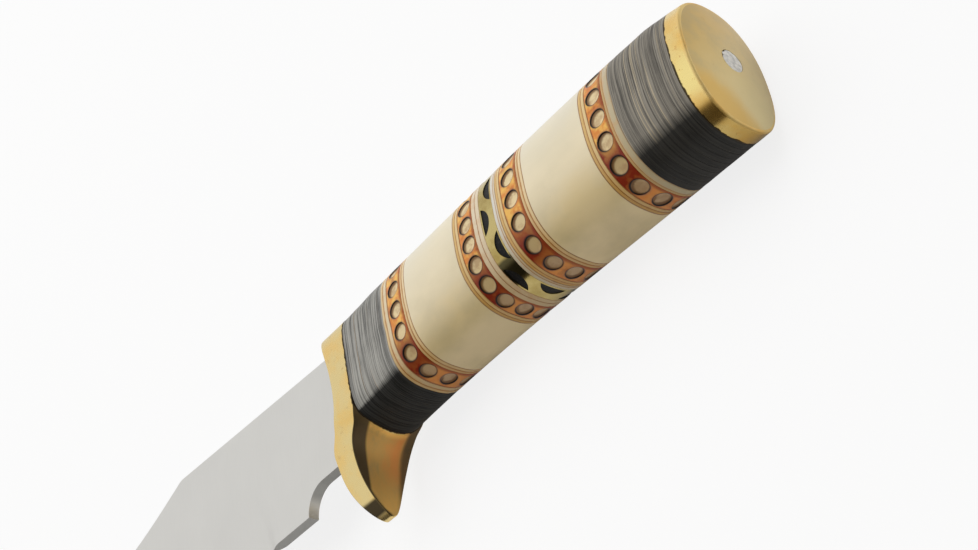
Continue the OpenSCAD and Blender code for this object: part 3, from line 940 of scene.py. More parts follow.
@dataclass(frozen=True)
class Place:
    """Where the knife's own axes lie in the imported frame, in millimetres."""

    x: float
    y: float
    z: float

    @classmethod
    def measured(cls, drop_at_guard: float) -> "Place":
        """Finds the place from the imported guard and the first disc.

        Args:
            drop_at_guard: how far the section's middle lies below the handle's axis there.

        Returns:
            The place.
        """
        disc = [np.array(corner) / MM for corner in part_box("front_disc_1")]
        guard_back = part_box("guard")[1][0] / MM
        middle = (disc[0] + disc[1]) / 2
        return cls(guard_back, middle[1] + drop_at_guard, middle[2])

    def __call__(self, points: np.ndarray) -> np.ndarray:
        """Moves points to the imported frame, in metres."""
        return (np.asarray(points) + (self.x, self.y, self.z)) * MM

    def span(self, node: str) -> tuple[float, float]:
        """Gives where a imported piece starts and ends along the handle."""
        low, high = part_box(node)
        return low[0] / MM - self.x, high[0] / MM - self.x


@dataclass
class Piece:
    """One visible piece: its mesh, finish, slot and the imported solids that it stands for."""

    name: str
    sheet: Sheet
    finish: Finish
    slot: Slot
    nodes: tuple[str, ...]
    bevel: float = 0.0
    weld: bool = False

    CREASE = math.radians(42)
    BEVEL_OVER = math.radians(35)
    BEVEL_STEPS = 3
    WELD_WITHIN = 0.002

    def build(self, place: Place) -> bpy.types.Object:
        """Makes the object and ties it to the frame.

        Args:
            place: where the knife lies.

        Returns:
            The object.
        """
        mesh = bpy.data.meshes.new(self.name)
        mesh.from_pydata(place(self.sheet.points).tolist(), [], self.sheet.faces)
        for name, values in self.sheet.values.items():
            attribute = mesh.attributes.new(name, "FLOAT", "POINT")
            attribute.data.foreach_set("value", np.asarray(values, dtype=np.float32))
        mesh.materials.append(self.finish.material)
        mesh.validate()
        mesh.polygons.foreach_set("use_smooth", [True] * len(mesh.polygons))
        mesh.set_sharp_from_angle(angle=self.CREASE)
        piece = added(self.name, mesh)
        if self.weld:
            piece.modifiers.new("weld", "WELD").merge_threshold = self.WELD_WITHIN * MM
        if self.bevel:
            self._bevel(piece)
        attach(piece, ROOT)
        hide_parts(*self.nodes)
        LOG.info("%s: %d points, stands for %s", self.name, len(mesh.vertices), ", ".join(self.nodes))
        return piece

    def _bevel(self, piece: bpy.types.Object) -> None:
        """Rounds the sharp edges.

        Args:
            piece: the object.
        """
        bevel = piece.modifiers.new("round", "BEVEL")
        bevel.width = self.bevel * MM
        bevel.segments = self.BEVEL_STEPS
        bevel.limit_method = "ANGLE"
        bevel.angle_limit = self.BEVEL_OVER
        bevel.harden_normals = False
        normals = piece.modifiers.new("normals", "WEIGHTED_NORMAL")
        normals.keep_sharp = True


# The handle's form


@dataclass(frozen=True)
class Arris:
    """A corner of the section that is sharp beside the guard and is lost along the handle."""

    run: float
    side_lean: float
    side_reach: float
    top_lean: float
    top_reach: float
    squareness: float

    # The parts of the direction over which the arris comes in
    EASE_OUT = 0.4
    EASE_UP = 0.3

    def share(self, x: np.ndarray) -> np.ndarray:
        """Gives how much of the arris is left at places along the handle."""
        return np.clip(1 - x / self.run, 0, 1)

    def adds(self, plain: np.ndarray, high: np.ndarray, out: np.ndarray) -> np.ndarray:
        """Gives what the arris adds to the reach of one quarter of the section.

        Args:
            plain: the reach without it.
            high: the direction's part towards the top of that quarter.
            out: its part towards the side.

        Returns:
            What is added, which is nothing outside the quarter.
        """
        across, up = np.maximum(out, TINY), np.maximum(high, TINY)
        side = (across + self.side_lean * up) / self.side_reach
        top = (up + self.top_lean * across) / self.top_reach
        sharp = (side**self.squareness + top**self.squareness) ** (-1 / self.squareness)
        faded = ease(out / self.EASE_OUT) * ease(high / self.EASE_UP)
        return (np.minimum(sharp, 2 * plain) - plain) * faded


@dataclass(frozen=True)
class HandleForm:
    """The lofted form that every slice of the handle is cut from."""

    length: float
    heights: tuple[float, ...] = (31.1, 28.4, 29.3, 30.4)
    thicknesses: tuple[float, ...] = (21.9, 23.6, 23.9, 22.3)
    drop_at_guard: float = 1.05
    drop_at_pommel: float = 0.8
    spine_squareness: float = 3.0
    edge_squareness: float = 2.4
    pommel_squareness: float = 2.25
    pommel_ease: float = 9.0
    below: Arris = Arris(27.0, 0.045, 10.53, 0.233, 15.64, 6.74)
    above: Arris = Arris(9.0, -0.027, 10.56, 0.332, 14.67, 8.0)

    STEPS = (-1.0, -1.0 / 3.0, 1.0 / 3.0, 1.0)
    FINE_ROUND = 2881
    ROUGH_ROUND = 721

    def _share(self, x: np.ndarray) -> np.ndarray:
        """Turns places along the handle into shares from -1 at the guard to 1 at the pommel."""
        return 2 * np.asarray(x) / self.length - 1

    def _through(self, values: tuple[float, ...], x: np.ndarray) -> np.ndarray:
        """Gives a cubic through four values at equal steps along the handle."""
        return np.polyval(np.polyfit(self.STEPS, values, 3), self._share(x))

    def half_height(self, x: np.ndarray) -> np.ndarray:
        """Gives half of the section's height."""
        return self._through(self.heights, x) / 2

    def half_thickness(self, x: np.ndarray) -> np.ndarray:
        """Gives half of the section's thickness."""
        return self._through(self.thicknesses, x) / 2

    def middle(self, x: np.ndarray) -> np.ndarray:
        """Gives the height of the section's middle."""
        t = self._share(x)
        return -t * t * (self.drop_at_guard * (1 - t) + self.drop_at_pommel * (1 + t)) / 2

    def point(self, x: np.ndarray, angle: np.ndarray, inset: Numbers = 0.0) -> np.ndarray:
        """Gives points of the form.

        Args:
            x: places along the handle.
            angle: directions in radians, where 0 is the spine and a quarter turn the seen face.
            inset: how far the section is drawn in.

        Returns:
            The points, with their coordinates last.
        """
        x, angle, inset = np.broadcast_arrays(x, angle, inset)
        up, out = np.cos(angle), np.sin(angle)
        reach = self.reach(x, up, out, inset)
        return np.stack([x, self.middle(x) + reach * up, reach * out], axis=-1)

    def reach(self, x: Numbers, up: np.ndarray, out: np.ndarray, inset: Numbers = 0.0) -> np.ndarray:
        """Gives how far the section reaches from its middle.

        Args:
            x: places along the handle.
            up: the direction's part towards the spine.
            out: its part towards the seen face.
            inset: how far the section is drawn in.

        Returns:
            The reaches.
        """
        rounder = np.clip(1 - (self.length - x) / self.pommel_ease, 0, 1)
        spine = self.spine_squareness + (self.pommel_squareness - self.spine_squareness) * rounder
        power = np.where(up > 0, spine, self.edge_squareness)
        high = np.abs(up) / (self.half_height(x) - inset)
        wide = np.abs(out) / (self.half_thickness(x) - inset)
        plain = (high**power + wide**power) ** (-1 / power)
        flat = self.below.side_reach / np.maximum(out, TINY)
        plain = plain - self.below.share(x) * np.maximum(plain - flat, 0)
        below = self.below.share(x) * self.below.adds(plain, -up, out)
        return plain + below + self.above.share(x) * self.above.adds(plain, up, np.abs(out))

    def outward(self, x: np.ndarray, angle: np.ndarray) -> np.ndarray:
        """Gives the directions that the surface faces, in the section's own plane.

        Args:
            x: places along the handle.
            angle: directions in radians.

        Returns:
            Vectors of length 1.
        """
        run = self.point(x, angle + TINY) - self.point(x, angle - TINY)
        facing = np.stack([np.zeros(run.shape[:-1]), run[..., 2], -run[..., 1]], axis=-1)
        return facing / np.linalg.norm(facing, axis=-1, keepdims=True)

    def round_the(self, x: float, shares: np.ndarray) -> np.ndarray:
        """Turns shares of the way round the section into directions.

        Args:
            x: the place along the handle.
            shares: shares of the way round, counted from the spine over the seen face.

        Returns:
            The directions in radians.
        """
        angles = np.linspace(0, FULL_TURN, self.FINE_ROUND)
        walked = walked_along(self.point(x, angles))
        turns = np.floor(shares)
        return np.interp((shares - turns) * walked[-1], walked, angles) + turns * FULL_TURN

    def girth(self, x: float) -> float:
        """Gives the way round the section."""
        return float(walked_along(self.point(x, np.linspace(0, FULL_TURN, self.ROUGH_ROUND)))[-1])

    def wrap(self, at: float, x: np.ndarray, share: np.ndarray, depth: np.ndarray) -> np.ndarray:
        """Lays flat places on the form.

        Args:
            at: the place along the handle where the shares are measured.
            x: places along the handle.
            share: shares of the way round.
            depth: depths under the surface.

        Returns:
            The points.
        """
        angle = self.round_the(at, share)
        return self.point(x, angle) - np.asarray(depth)[..., None] * self.outward(x, angle)


@dataclass(frozen=True)
class Slice:
    """A slice of the handle that is turned on the tang: a bone ring, a barrel or a disc."""

    form: HandleForm
    start: float
    end: float
    points: int = 216
    seam: float = 0.12
    seam_run: float = 0.12
    wall: float = 3.0
    step: float = 1.5
    groove_half: float = 0.11
    groove_clear: float = 1.3

    # The rounded seam, from the end face to the surface: shares of its run and of its depth
    ROUND = ((0.0, 1.0), (0.12, 0.45), (0.45, 0.12), (1.0, 0.0))

    def profile(self, grooves: Profile = ()) -> list[tuple[float, float]]:
        """Gives the slice's profile from end to end.

        Args:
            grooves: places as shares of the length, and depths, of lines turned in the surface.

        Returns:
            Places along the handle, and depths.
        """
        run, half = self.seam_run, self.groove_half
        start = [(along * run, deep * self.seam) for along, deep in self.ROUND]
        length = self.end - self.start
        inner = np.linspace(2 * run, length - 2 * run, max(2, int(length / self.step) + 1))
        lines = [(share * length, depth) for share, depth in grooves]
        cuts = [(at + side * half, depth * (side == 0)) for at, depth in lines for side in (-1, 0, 1)]
        clear = [x for x in inner if all(abs(x - at) > self.groove_clear * half for at, _ in lines)]
        middle = sorted([(x, 0.0) for x in clear] + cuts)
        ends = [(length - x, depth) for x, depth in reversed(start)]
        return [(self.start + x, depth) for x, depth in [*start, *middle, *ends]]

    def sheet(self, grooves: Profile = (), relief: Callable[..., np.ndarray] | None = None) -> Sheet:
        """Makes the closed ring.

        Args:
            grooves: lines turned in the surface.
            relief: gives an extra depth from places along the handle and shares round it.

        Returns:
            The ring, which holds how far along it each point lies, and how far round.
        """
        share = np.arange(self.points) / self.points
        x, depth = (np.array(row)[:, None] + 0 * share for row in zip(*self.profile(grooves)))
        if relief:
            depth = depth + relief(x, share + 0 * x)
        x = np.concatenate([x, [x[-1], x[0]]])
        depth = np.concatenate([depth, np.full((2, self.points), self.wall)])
        share = share + 0 * x
        middle = (self.start + self.end) / 2
        rings = self.form.wrap(middle, x, share, depth)
        along = (x - self.start) / (self.end - self.start)
        return Sheet(rings.reshape(-1, 3), looped(rings), {"along": along.ravel(), "turn": share.ravel()})


@dataclass
class Stack:
    """The bone slices and the two stacks of black discs."""

    form: HandleForm
    place: Place
    disc_edge: float = 0.07
    disc_edge_run: float = 0.1
    disc_step: float = 0.35
    disc_wave: float = 0.012
    disc_waves: tuple[int, ...] = (2, 3, 5, 9, 17)
    disc_wave_shares: tuple[float, float] = (0.2, 1.0)
    disc_lowered: tuple[float, float] = (0.01, 0.04)
    groove_depth: float = 0.07

    def build(self) -> None:
        """Makes every plain slice."""
        bone, collar, scribed, ochre = BoneFinish(), CollarFinish(), RingFinish(), OchreRingFinish()
        ivory, silver = IvoryRingFinish(), SilverRingFinish()
        for name in ("front_barrel", "rear_barrel"):
            self._slice(name, bone)
        for name, finish in (
            ("front_collar", collar), ("rear_collar", RearCollarFinish()), ("spacer_ring_1", scribed),
            ("spacer_ring_2", ochre), ("spacer_ring_3", scribed), ("spacer_ring_4", ochre),
        ):
            self._slice(name, finish, grooves=((finish.line_at, self.groove_depth),))
        for number, finish in enumerate((ivory, ivory, silver, ochre), 1):
            self._slice(f"fillet_ring_{number}", finish)
        front, rear = DiscFinish(), RearDiscFinish()
        numbers = [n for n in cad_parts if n.startswith("front_disc_")]
        for number in range(1, len(numbers) + 1):
            self._disc(f"front_disc_{number}", front, number)
            self._disc(f"rear_disc_{number}", rear, number + len(numbers))

    def _slice(self, name: str, finish: Finish, grooves: Profile = ()) -> None:
        """Makes one bone slice where its solid is.

        Args:
            name: its solid's name.
            finish: its finish.
            grooves: places and depths of its scribed lines.
        """
        sheet = Slice(self.form, *self.place.span(name)).sheet(grooves)
        Piece(f"{name}_look", sheet, finish, Slot.BONE, (name,)).build(self.place)

    def _disc(self, name: str, finish: Finish, seed: int) -> None:
        """Makes one disc, with an edge that sanding has left slightly uneven.

        Args:
            name: its solid's name.
            finish: its finish.
            seed: the number that sets its unevenness.
        """
        draw = np.random.default_rng(seed)
        shares = self.disc_wave_shares
        waves = [(n, draw.uniform(0, FULL_TURN), draw.uniform(*shares)) for n in self.disc_waves]
        low = draw.uniform(*self.disc_lowered)

        def relief(x: np.ndarray, share: np.ndarray) -> np.ndarray:
            """Gives the extra depth of the disc, which is the same from face to face."""
            wave = sum(height * np.cos(FULL_TURN * n * share + start) / n for n, start, height in waves)
            return low + self.disc_wave * (1 + wave)

        edge = {"seam": self.disc_edge, "seam_run": self.disc_edge_run}
        disc = Slice(self.form, *self.place.span(name), step=self.disc_step, **edge)
        sheet = disc.sheet(relief=relief)
        sheet.values["back"] = sheet.points[:, 0]
        Piece(f"{name}_look", sheet, finish, Slot.DISC, (name,)).build(self.place)


@dataclass
class PittedRing:
    """A stained ring with a row of dished pits."""

    form: HandleForm
    place: Place
    node: str
    count: int
    turn: float
    seed: int
    pit_radius: float = 1.85
    depth: float = 0.46
    side_steps: int = 14
    seam: float = 0.14
    seam_run: float = 0.16
    wall: float = 3.0
    margin: float = 0.03
    # Which way the burn and the painted shade lean in each pit
    burn_and_shade_along: float = -0.62
    burn_and_shade_round: float = -0.78

    # What a point away from every pit holds as its distance, in radii
    FAR = 2

    # How far hand work strays: a pit's radius and depth as shares, its centre in mm, how oval it is
    # and which way the oval points, in radians
    RADIUS_RANGE = (0.97, 1.02)
    DEPTH_RANGE = (0.9, 1.08)
    ALONG_RANGE = (-0.07, 0.07)
    ROUND_RANGE = (-0.1, 0.1)
    OVAL_RANGE = (-0.02, 0.02)
    OVAL_TURNS = (0, 6)

    # The rounded seam, from the surface to the end face: shares of its run and of its depth
    ROUND = ((1.0, 0.0), (0.5, 0.14), (0.12, 0.5), (0.0, 1.0))

    # Radii of the rings of one pit, as shares of its radius, with their depths as shares of its depth
    DISH = (
        (1.16, 0.0), (1.08, 0.0), (1.035, 0.012), (1.0, 0.07), (0.965, 0.24), (0.925, 0.42), (0.87, 0.58),
        (0.79, 0.72), (0.68, 0.83), (0.53, 0.92), (0.36, 0.97), (0.18, 0.99),
    )

    def build(self, finish: Finish) -> None:
        """Makes the ring where its solid is.

        Args:
            finish: its finish.
        """
        start, end = self.place.span(self.node)
        middle = (start + end) / 2
        step = self.form.girth(middle) / self.count
        half = (end - start) / 2 - self.seam_run
        draw = np.random.default_rng(self.seed)
        cells = [self._cell(i, step, half, draw) for i in range(self.count)]
        flat = Sheet.joined([*cells, self._ends(step, half)])
        x, walk, depth = flat.points.T
        share = walk / (step * self.count)
        points = self.form.wrap(middle, middle + x, share, depth)
        turn = share - np.floor(share)
        lean, across = flat.values["lean"], flat.values["across"]
        values = {
            "pit": flat.values["pit"],
            "along": (x + (end - start) / 2) / (end - start),
            "turn": turn,
            # shade leans the burn and the painted shade to one side of each pit
            "shade": self.burn_and_shade_along * lean + self.burn_and_shade_round * across * np.sign(0.5 - turn),
        }
        sheet = Sheet(points, flat.faces, values)
        Piece(f"{self.node}_look", sheet, finish, Slot.STAINED, (self.node,), weld=True).build(self.place)

    def _cell(self, number: int, step: float, half: float, draw: np.random.Generator) -> Sheet:
        """Makes one pit and the rectangle round it.

        Args:
            number: which pit it is.
            step: the way from one pit to the next.
            half: half of the rectangle's length along the handle.
            draw: gives the small unevenness of hand work.

        Returns:
            The cell, flat: places along the handle, walked ways and depths.
        """
        sides = self.side_steps
        t = np.linspace(-1, 1, sides, endpoint=False)
        one = np.ones(sides)
        border = np.concatenate(
            [np.stack([one, t], 1), np.stack([-t, one], 1), np.stack([-one, -t], 1), np.stack([t, -one], 1)]
        ) * (half, step / 2)
        angle = QUARTER_TURN / 2 * np.concatenate([t, t + 2, t + 4, t + 6])
        circle = np.stack([np.cos(angle), np.sin(angle)], 1)
        radius = self.pit_radius * draw.uniform(*self.RADIUS_RANGE)
        centre = np.array([draw.uniform(*self.ALONG_RANGE), draw.uniform(*self.ROUND_RANGE)])
        oval = 1 + draw.uniform(*self.OVAL_RANGE) * np.cos(2 * angle + draw.uniform(*self.OVAL_TURNS))
        deep = self.depth * draw.uniform(*self.DEPTH_RANGE)
        reach = min(self.DISH[0][0], (half - self.margin) / radius)
        rings = [np.column_stack([border, 0 * angle])]
        pit = [np.linalg.norm(border - centre, axis=1) / radius]
        aims = [circle] * (len(self.DISH) + 1)
        for share, sunk in self.DISH:
            share = min(share, reach) if share > 1.0 else share
            ring = centre + circle * (radius * share * oval)[:, None]
            rings.append(np.column_stack([ring, np.full(len(angle), deep * sunk)]))
            pit.append(np.full(len(angle), share))
        stacked = np.stack(rings)
        faces = looped(stacked, closed=False)
        points = stacked.reshape(-1, 3)
        hub, last = len(points), len(points) - len(angle)
        faces += [(last + i, last + (i + 1) % len(angle), hub) for i in range(len(angle))]
        points = np.vstack([points, [*centre, deep]])
        points[:, 1] += (number + self.turn) * step
        lean, across = np.vstack([*aims, [0.0, 0.0]]).T
        return Sheet(points, faces, {"pit": np.concatenate([*pit, [0.0]]), "lean": lean, "across": across})

    def _ends(self, step: float, half: float) -> Sheet:
        """Makes the rounded seams, the end faces and the bore, from one edge of the row to the other.

        Args:
            step: the way from one pit to the next.
            half: half of the flat row's length along the handle.

        Returns:
            The rest of the ring, flat as the cells are.
        """
        walk = (np.arange(self.count * self.side_steps) / self.side_steps + self.turn - 0.5) * step
        out = half + self.seam_run
        rim = [(out - along * self.seam_run, deep * self.seam) for along, deep in self.ROUND]
        rim.append((out, self.wall))
        profile = [*rim, *[(-x, depth) for x, depth in reversed(rim)]]
        rings = np.stack([np.stack([0 * walk + x, walk, 0 * walk + depth], 1) for x, depth in profile])
        plain = np.zeros(len(profile) * len(walk))
        values = {"pit": plain + self.FAR, "lean": plain, "across": plain}
        return Sheet(rings.reshape(-1, 3), looped(rings, closed=False, flipped=True), values)


@dataclass
class WaveBand:
    """The brass band with windows from alternate edges, and the black filling behind it."""

    form: HandleForm
    place: Place
    count: int = 6
    turn: float = 0.06
    window_length: float = 6.6
    window_depth: float = 1.95
    rail: float = 0.35
    wall: float = 0.9
    recess: float = 0.22
    columns: int = 24
    sunk: float = 0.04
    play: float = 0.02
    inlay_seam_run: float = 0.05
    inlay_wall: float = 1.0
    seam_away: float = 1.0

    # The layout's lines are the front end, the front rail, the windows' two waves, the rear rail
    # and the rear end, and these pairs of them have material between them
    BRASS = ((0, 1), (2, 3), (4, 5))
    FILLED = ((1, 2), (3, 4))
    THINNEST = 1e-4

    def build(self) -> None:
        """Makes the band and the filling."""
        band = self._layout(self.BRASS, 0.0, self.sunk)
        share = np.arange(self._around) / self._around
        band.values["seam"] = np.full(len(band.points), self.seam_away)
        band.values["turn"] = np.tile(share, len(band.points) // self._around)
        self._finished("wave_band", band, BandBrassFinish(), Slot.BRASS)
        plates = self._layout(self.FILLED, self.play, self.recess)
        under = self.wall + self.play
        depths = {"seam": under, "seam_run": self.inlay_seam_run, "wall": self.wall + self.inlay_wall}
        base = Slice(self.form, *self._span, **depths)
        ring = base.sheet(relief=lambda x, share: np.full(x.shape, under))
        filling = Sheet.joined([plates, Sheet(ring.points, ring.faces)])
        self._finished("wave_inlay", filling, FillingFinish(), Slot.FILLING)

    def _finished(self, name: str, sheet: Sheet, finish: Finish, slot: Slot) -> None:
        """Makes a piece of a sheet whose strips still have doubled points."""
        Piece(f"{name}_look", sheet, finish, slot, (name,), weld=True).build(self.place)

    @property
    def _span(self) -> tuple[float, float]:
        """Gives where the band starts and ends."""
        return self.place.span("wave_band")

    @property
    def _around(self) -> int:
        """Gives how many points lie round the band."""
        return 2 * self.count * self.columns

    def _depth(self, walk: np.ndarray, side: int) -> np.ndarray:
        """Gives how deep the windows from one edge reach.

        Args:
            walk: ways walked round the band.
            side: 0 for the front edge and 1 for the rear edge.

        Returns:
            The depths, which are 0 between the windows.
        """
        step = self.form.girth(sum(self._span) / 2) / self.count
        first = ((1 - side) / 2 + self.turn) * step
        off = np.abs((walk - first + step / 2) % step - step / 2)
        half, depth = self.window_length / 2, self.window_depth
        radius = (half * half + depth * depth) / (2 * depth)
        return np.maximum(0.0, np.sqrt(np.maximum(0, radius**2 - off**2)) - (radius - depth))

    def _layout(self, strips: Sequence[tuple[int, int]], play: float, top: float) -> Sheet:
        """Makes the strips between the lines of the layout as one closed shell.

        Args:
            strips: pairs of lines that have material between them.
            play: how far the windows' outlines are drawn in.
            top: the depth of the upper face.

        Returns:
            The shell.
        """
        start, end = self._span
        middle, count = (start + end) / 2, self._around
        girth = self.form.girth(middle)
        walk = np.arange(count) * girth / count
        depths = (self._depth(walk, side) for side in (0, 1))
        front, rear = (np.maximum(depth - play, play * (depth > 0)) for depth in depths)
        low, high = start + self.rail, end - self.rail
        lines = (start, low + play, low + front, high - rear, high - play, end)
        x = np.stack([line + 0 * walk for line in lines])
        share = walk / girth + 0 * x
        layers = [self.form.wrap(middle, x, share, np.full(x.shape, depth)) for depth in (top, self.wall)]
        points = np.concatenate([layer.reshape(-1, 3) for layer in layers])
        quads = [
            (a * count + i, a * count + j, b * count + j, b * count + i)
            for a, b in strips
            for i in range(count)
            for j in [(i + 1) % count]
            if max(x[b, i] - x[a, i], x[b, j] - x[a, j]) >= self.THINNEST
        ]
        edges = {edge for quad in quads for edge in zip(quad, quad[1:] + quad[:1])}
        used = {line for strip in strips for line in strip}

        def closed(a: int, b: int) -> bool:
            """Tells whether an edge lies on another strip's edge, where a window has closed.

            Args:
                a: the edge's first point.
                b: its second.

            Returns:
                Whether it does.
            """
            for line in used - {a // count}:
                c, d = line * count + a % count, line * count + b % count
                if (d, c) in edges and np.allclose(points[[a, b]], points[[c, d]], atol=TINIEST):
                    return True
            return False

        borders = [(a, b) for a, b in sorted(edges) if (b, a) not in edges and not closed(a, b)]
        faces = quads + [tuple(x.size + i for i in reversed(quad)) for quad in quads]
        return Sheet(points, faces + [(b, a, x.size + a, x.size + b) for a, b in borders])


@dataclass
class Pommel:
    """The brass pommel with its low dome, and the peened end of the tang in its middle."""

    form: HandleForm
    place: Place
    round_edge: float = 0.6
    rise: float = 1.3
    hole: float = 2.62
    points: int = 256
    dome_steps: int = 22
    edge_steps: int = 7
    side_steps: int = 4
    peen_points: int = 96
    peen_play: float = 0.08
    peen_sunk: float = 0.02

    # The start of the side: distances from the discs, and insets
    SIDE = ((0.0, 0.06), (0.03, 0.02), (0.1, 0.0), (0.3, 0.0))
    SIDE_FROM = 1.0
    SIDE_CLEAR = 0.1
    # The mouth of the hole: depths under the dome, and how much narrower than the hole it is
    MOUTH = ((0.03, 0.05), (0.5, 0.07))
    # How far under the crease the end face starts
    FACE_REACH = 0.02
    # The peen's rings: shares of its outline, and depths
    PEEN = (
        (0.999, 0.5), (1.0, 0.06), (0.985, 0.02), (0.95, 0.0), (0.8, -0.01), (0.4, -0.015), (0.05, -0.015),
    )
    # The peen's gaps: where they are and how wide, in degrees, and their depths
    GAPS = ((42, 9, 0.28), (78, 8, 0.3))

    def build(self, rim: Finish, face: Finish) -> None:
        """Makes the pommel and the peen.

        Args:
            rim: the finish of the rim.
            face: the finish of the end face.
        """
        start, _ = self.place.span("pommel")
        length = self.form.length
        angle = self.form.round_the(length, np.arange(self.points) / self.points)
        crease = self.form.point(length, angle, self.round_edge)
        middle = np.array([0.0, float(self.form.middle(length)), 0.0])
        circle = np.stack([0 * angle, np.cos(angle), np.sin(angle)], 1) * self.hole
        flat = self.hole / np.linalg.norm(crease - middle - [length, 0, 0], axis=1).mean()
        rings = [self.form.point(x, angle, inset) for x, inset in self._rim(start)]
        for share in np.linspace(0, 1, self.dome_steps)[1:]:
            scale = 1 - (1 - flat) * share
            ring = middle + (crease - middle) * [0, scale, scale] * (1 - share**3) + circle * share**3
            ring[:, 0] = length + self.rise * (1 - scale**2) / (1 - flat**2)
            rings.append(ring)
        end = length + self.rise
        mouth = [(end - depth, narrower) for depth, narrower in self.MOUTH]
        for x, narrower in (*mouth, (start, self.MOUTH[-1][1])):
            rings.append(middle + circle * (1 - narrower / self.hole) + [x, 0, 0])
        stacked = np.stack(rings)
        points = stacked.reshape(-1, 3)
        sheet = Sheet(points, looped(stacked, flipped=True), {"seam": points[:, 0] - start})
        piece = Piece("pommel_look", sheet, rim, Slot.BRASS, ("pommel",)).build(self.place)
        self._face(piece, face)
        self._peen(end - self.peen_sunk, middle)

    def _rim(self, start: float) -> list[tuple[float, float]]:
        """Gives the rim's profile.

        Args:
            start: where the pommel starts along the handle.

        Returns:
            Places and insets, up to the rounded crease.
        """
        edge, length = self.round_edge, self.form.length
        flat = [(start + x, inset) for x, inset in self.SIDE]
        side = np.linspace(start + self.SIDE_FROM, length - edge - self.SIDE_CLEAR, self.side_steps)
        turns = np.linspace(0, QUARTER_TURN, self.edge_steps)
        rounded = [(length - edge * (1 - np.sin(a)), edge * (1 - np.cos(a))) for a in turns]
        return [*flat, *((x, 0.0) for x in side), *rounded]

    def _face(self, piece: bpy.types.Object, finish: Finish) -> None:
        """Gives the end face its own finish.

        Args:
            piece: the pommel.
            finish: the finish.
        """
        piece.data.materials.append(finish.material)
        limit = (self.form.length + self.place.x - self.FACE_REACH) * MM
        for polygon in piece.data.polygons:
            if min(piece.data.vertices[i].co.x for i in polygon.vertices) > limit:
                polygon.material_index = 1

    def _peen(self, end: float, middle: np.ndarray) -> None:
        """Makes the peened head, with two small gaps where it didn't spread to the hole's edge.

        Args:
            end: where the head ends along the handle.
            middle: the hole's middle.
        """
        angle = np.linspace(0, FULL_TURN, self.peen_points, endpoint=False)
        gap = sum(deep * np.exp(-(((np.degrees(angle) - at) / wide) ** 2)) for at, wide, deep in self.GAPS)
        outline = self.hole - self.peen_play - gap
        around = np.stack([0 * angle, outline * np.cos(angle), outline * np.sin(angle)], 1)
        rings = np.stack([middle + around * share + [end - sunk, 0, 0] for share, sunk in self.PEEN])
        sheet = Sheet(rings.reshape(-1, 3), looped(rings, closed=False, flipped=True, capped=True))
        Piece("tang_peen", sheet, PeenFinish(), Slot.STEEL, ("blade",)).build(self.place)


@dataclass(frozen=True)
class GuardStainsAndReflections:
    """Where the painted reflections and the stains lie on the guard, by height, place across or distance.
    """

    down_from: float = -16.0
    seam_slope: float = 0.6
    stripe_middle: float = -19.5
    stripe_half: float = 10.5
    stripe_width: float = 3.05
    stripe_least: float = 0.5
    stripe_depth: float = 0.92
    blotch_across: float = -3.6
    blotch_spread: float = 1.9
    blotch_span: tuple[float, float] = (-14.5, -30.0)
    blotch_eases: tuple[float, float] = (3.0, 7.0)
    tip_reflection_span: tuple[float, float] = (-30.8, -34.8)
    tip_reflection_eases: tuple[float, float] = (0.8, 0.6)
    far_from: float = 5.0

    def stripe(self, y: np.ndarray, across: np.ndarray) -> np.ndarray:
        """Gives the dark stripe of painted reflection along the cove's rim.

        Args:
            y: heights.
            across: distances from the rim.

        Returns:
            How dark it is.
        """
        wide = self.stripe_width * np.maximum(0, 1 - ((y - self.stripe_middle) / self.stripe_half) ** 2)
        inside = (np.maximum(wide, self.stripe_least) - across) / self.stripe_least + 0.5
        return self.stripe_depth * np.clip(inside, 0, 1)

    def blotch(self, y: np.ndarray, z: np.ndarray) -> np.ndarray:
        """Gives the orange blotch in the cove."""
        across = np.exp(-(((z - self.blotch_across) / self.blotch_spread) ** 2))
        return across * self._between(y, self.blotch_span, self.blotch_eases)

    def painted_tip_reflection(self, y: np.ndarray) -> np.ndarray:
        """Gives the painted dark reflection on the flank near the tip."""
        return self._between(y, self.tip_reflection_span, self.tip_reflection_eases)

    @staticmethod
    def _between(y: np.ndarray, span: tuple[float, float], eases: tuple[float, float]) -> np.ndarray:
        """Is 1 between two heights and falls to 0 towards each over its own distance."""
        return ease((span[0] - y) / eases[0]) * ease((y - span[1]) / eases[1])


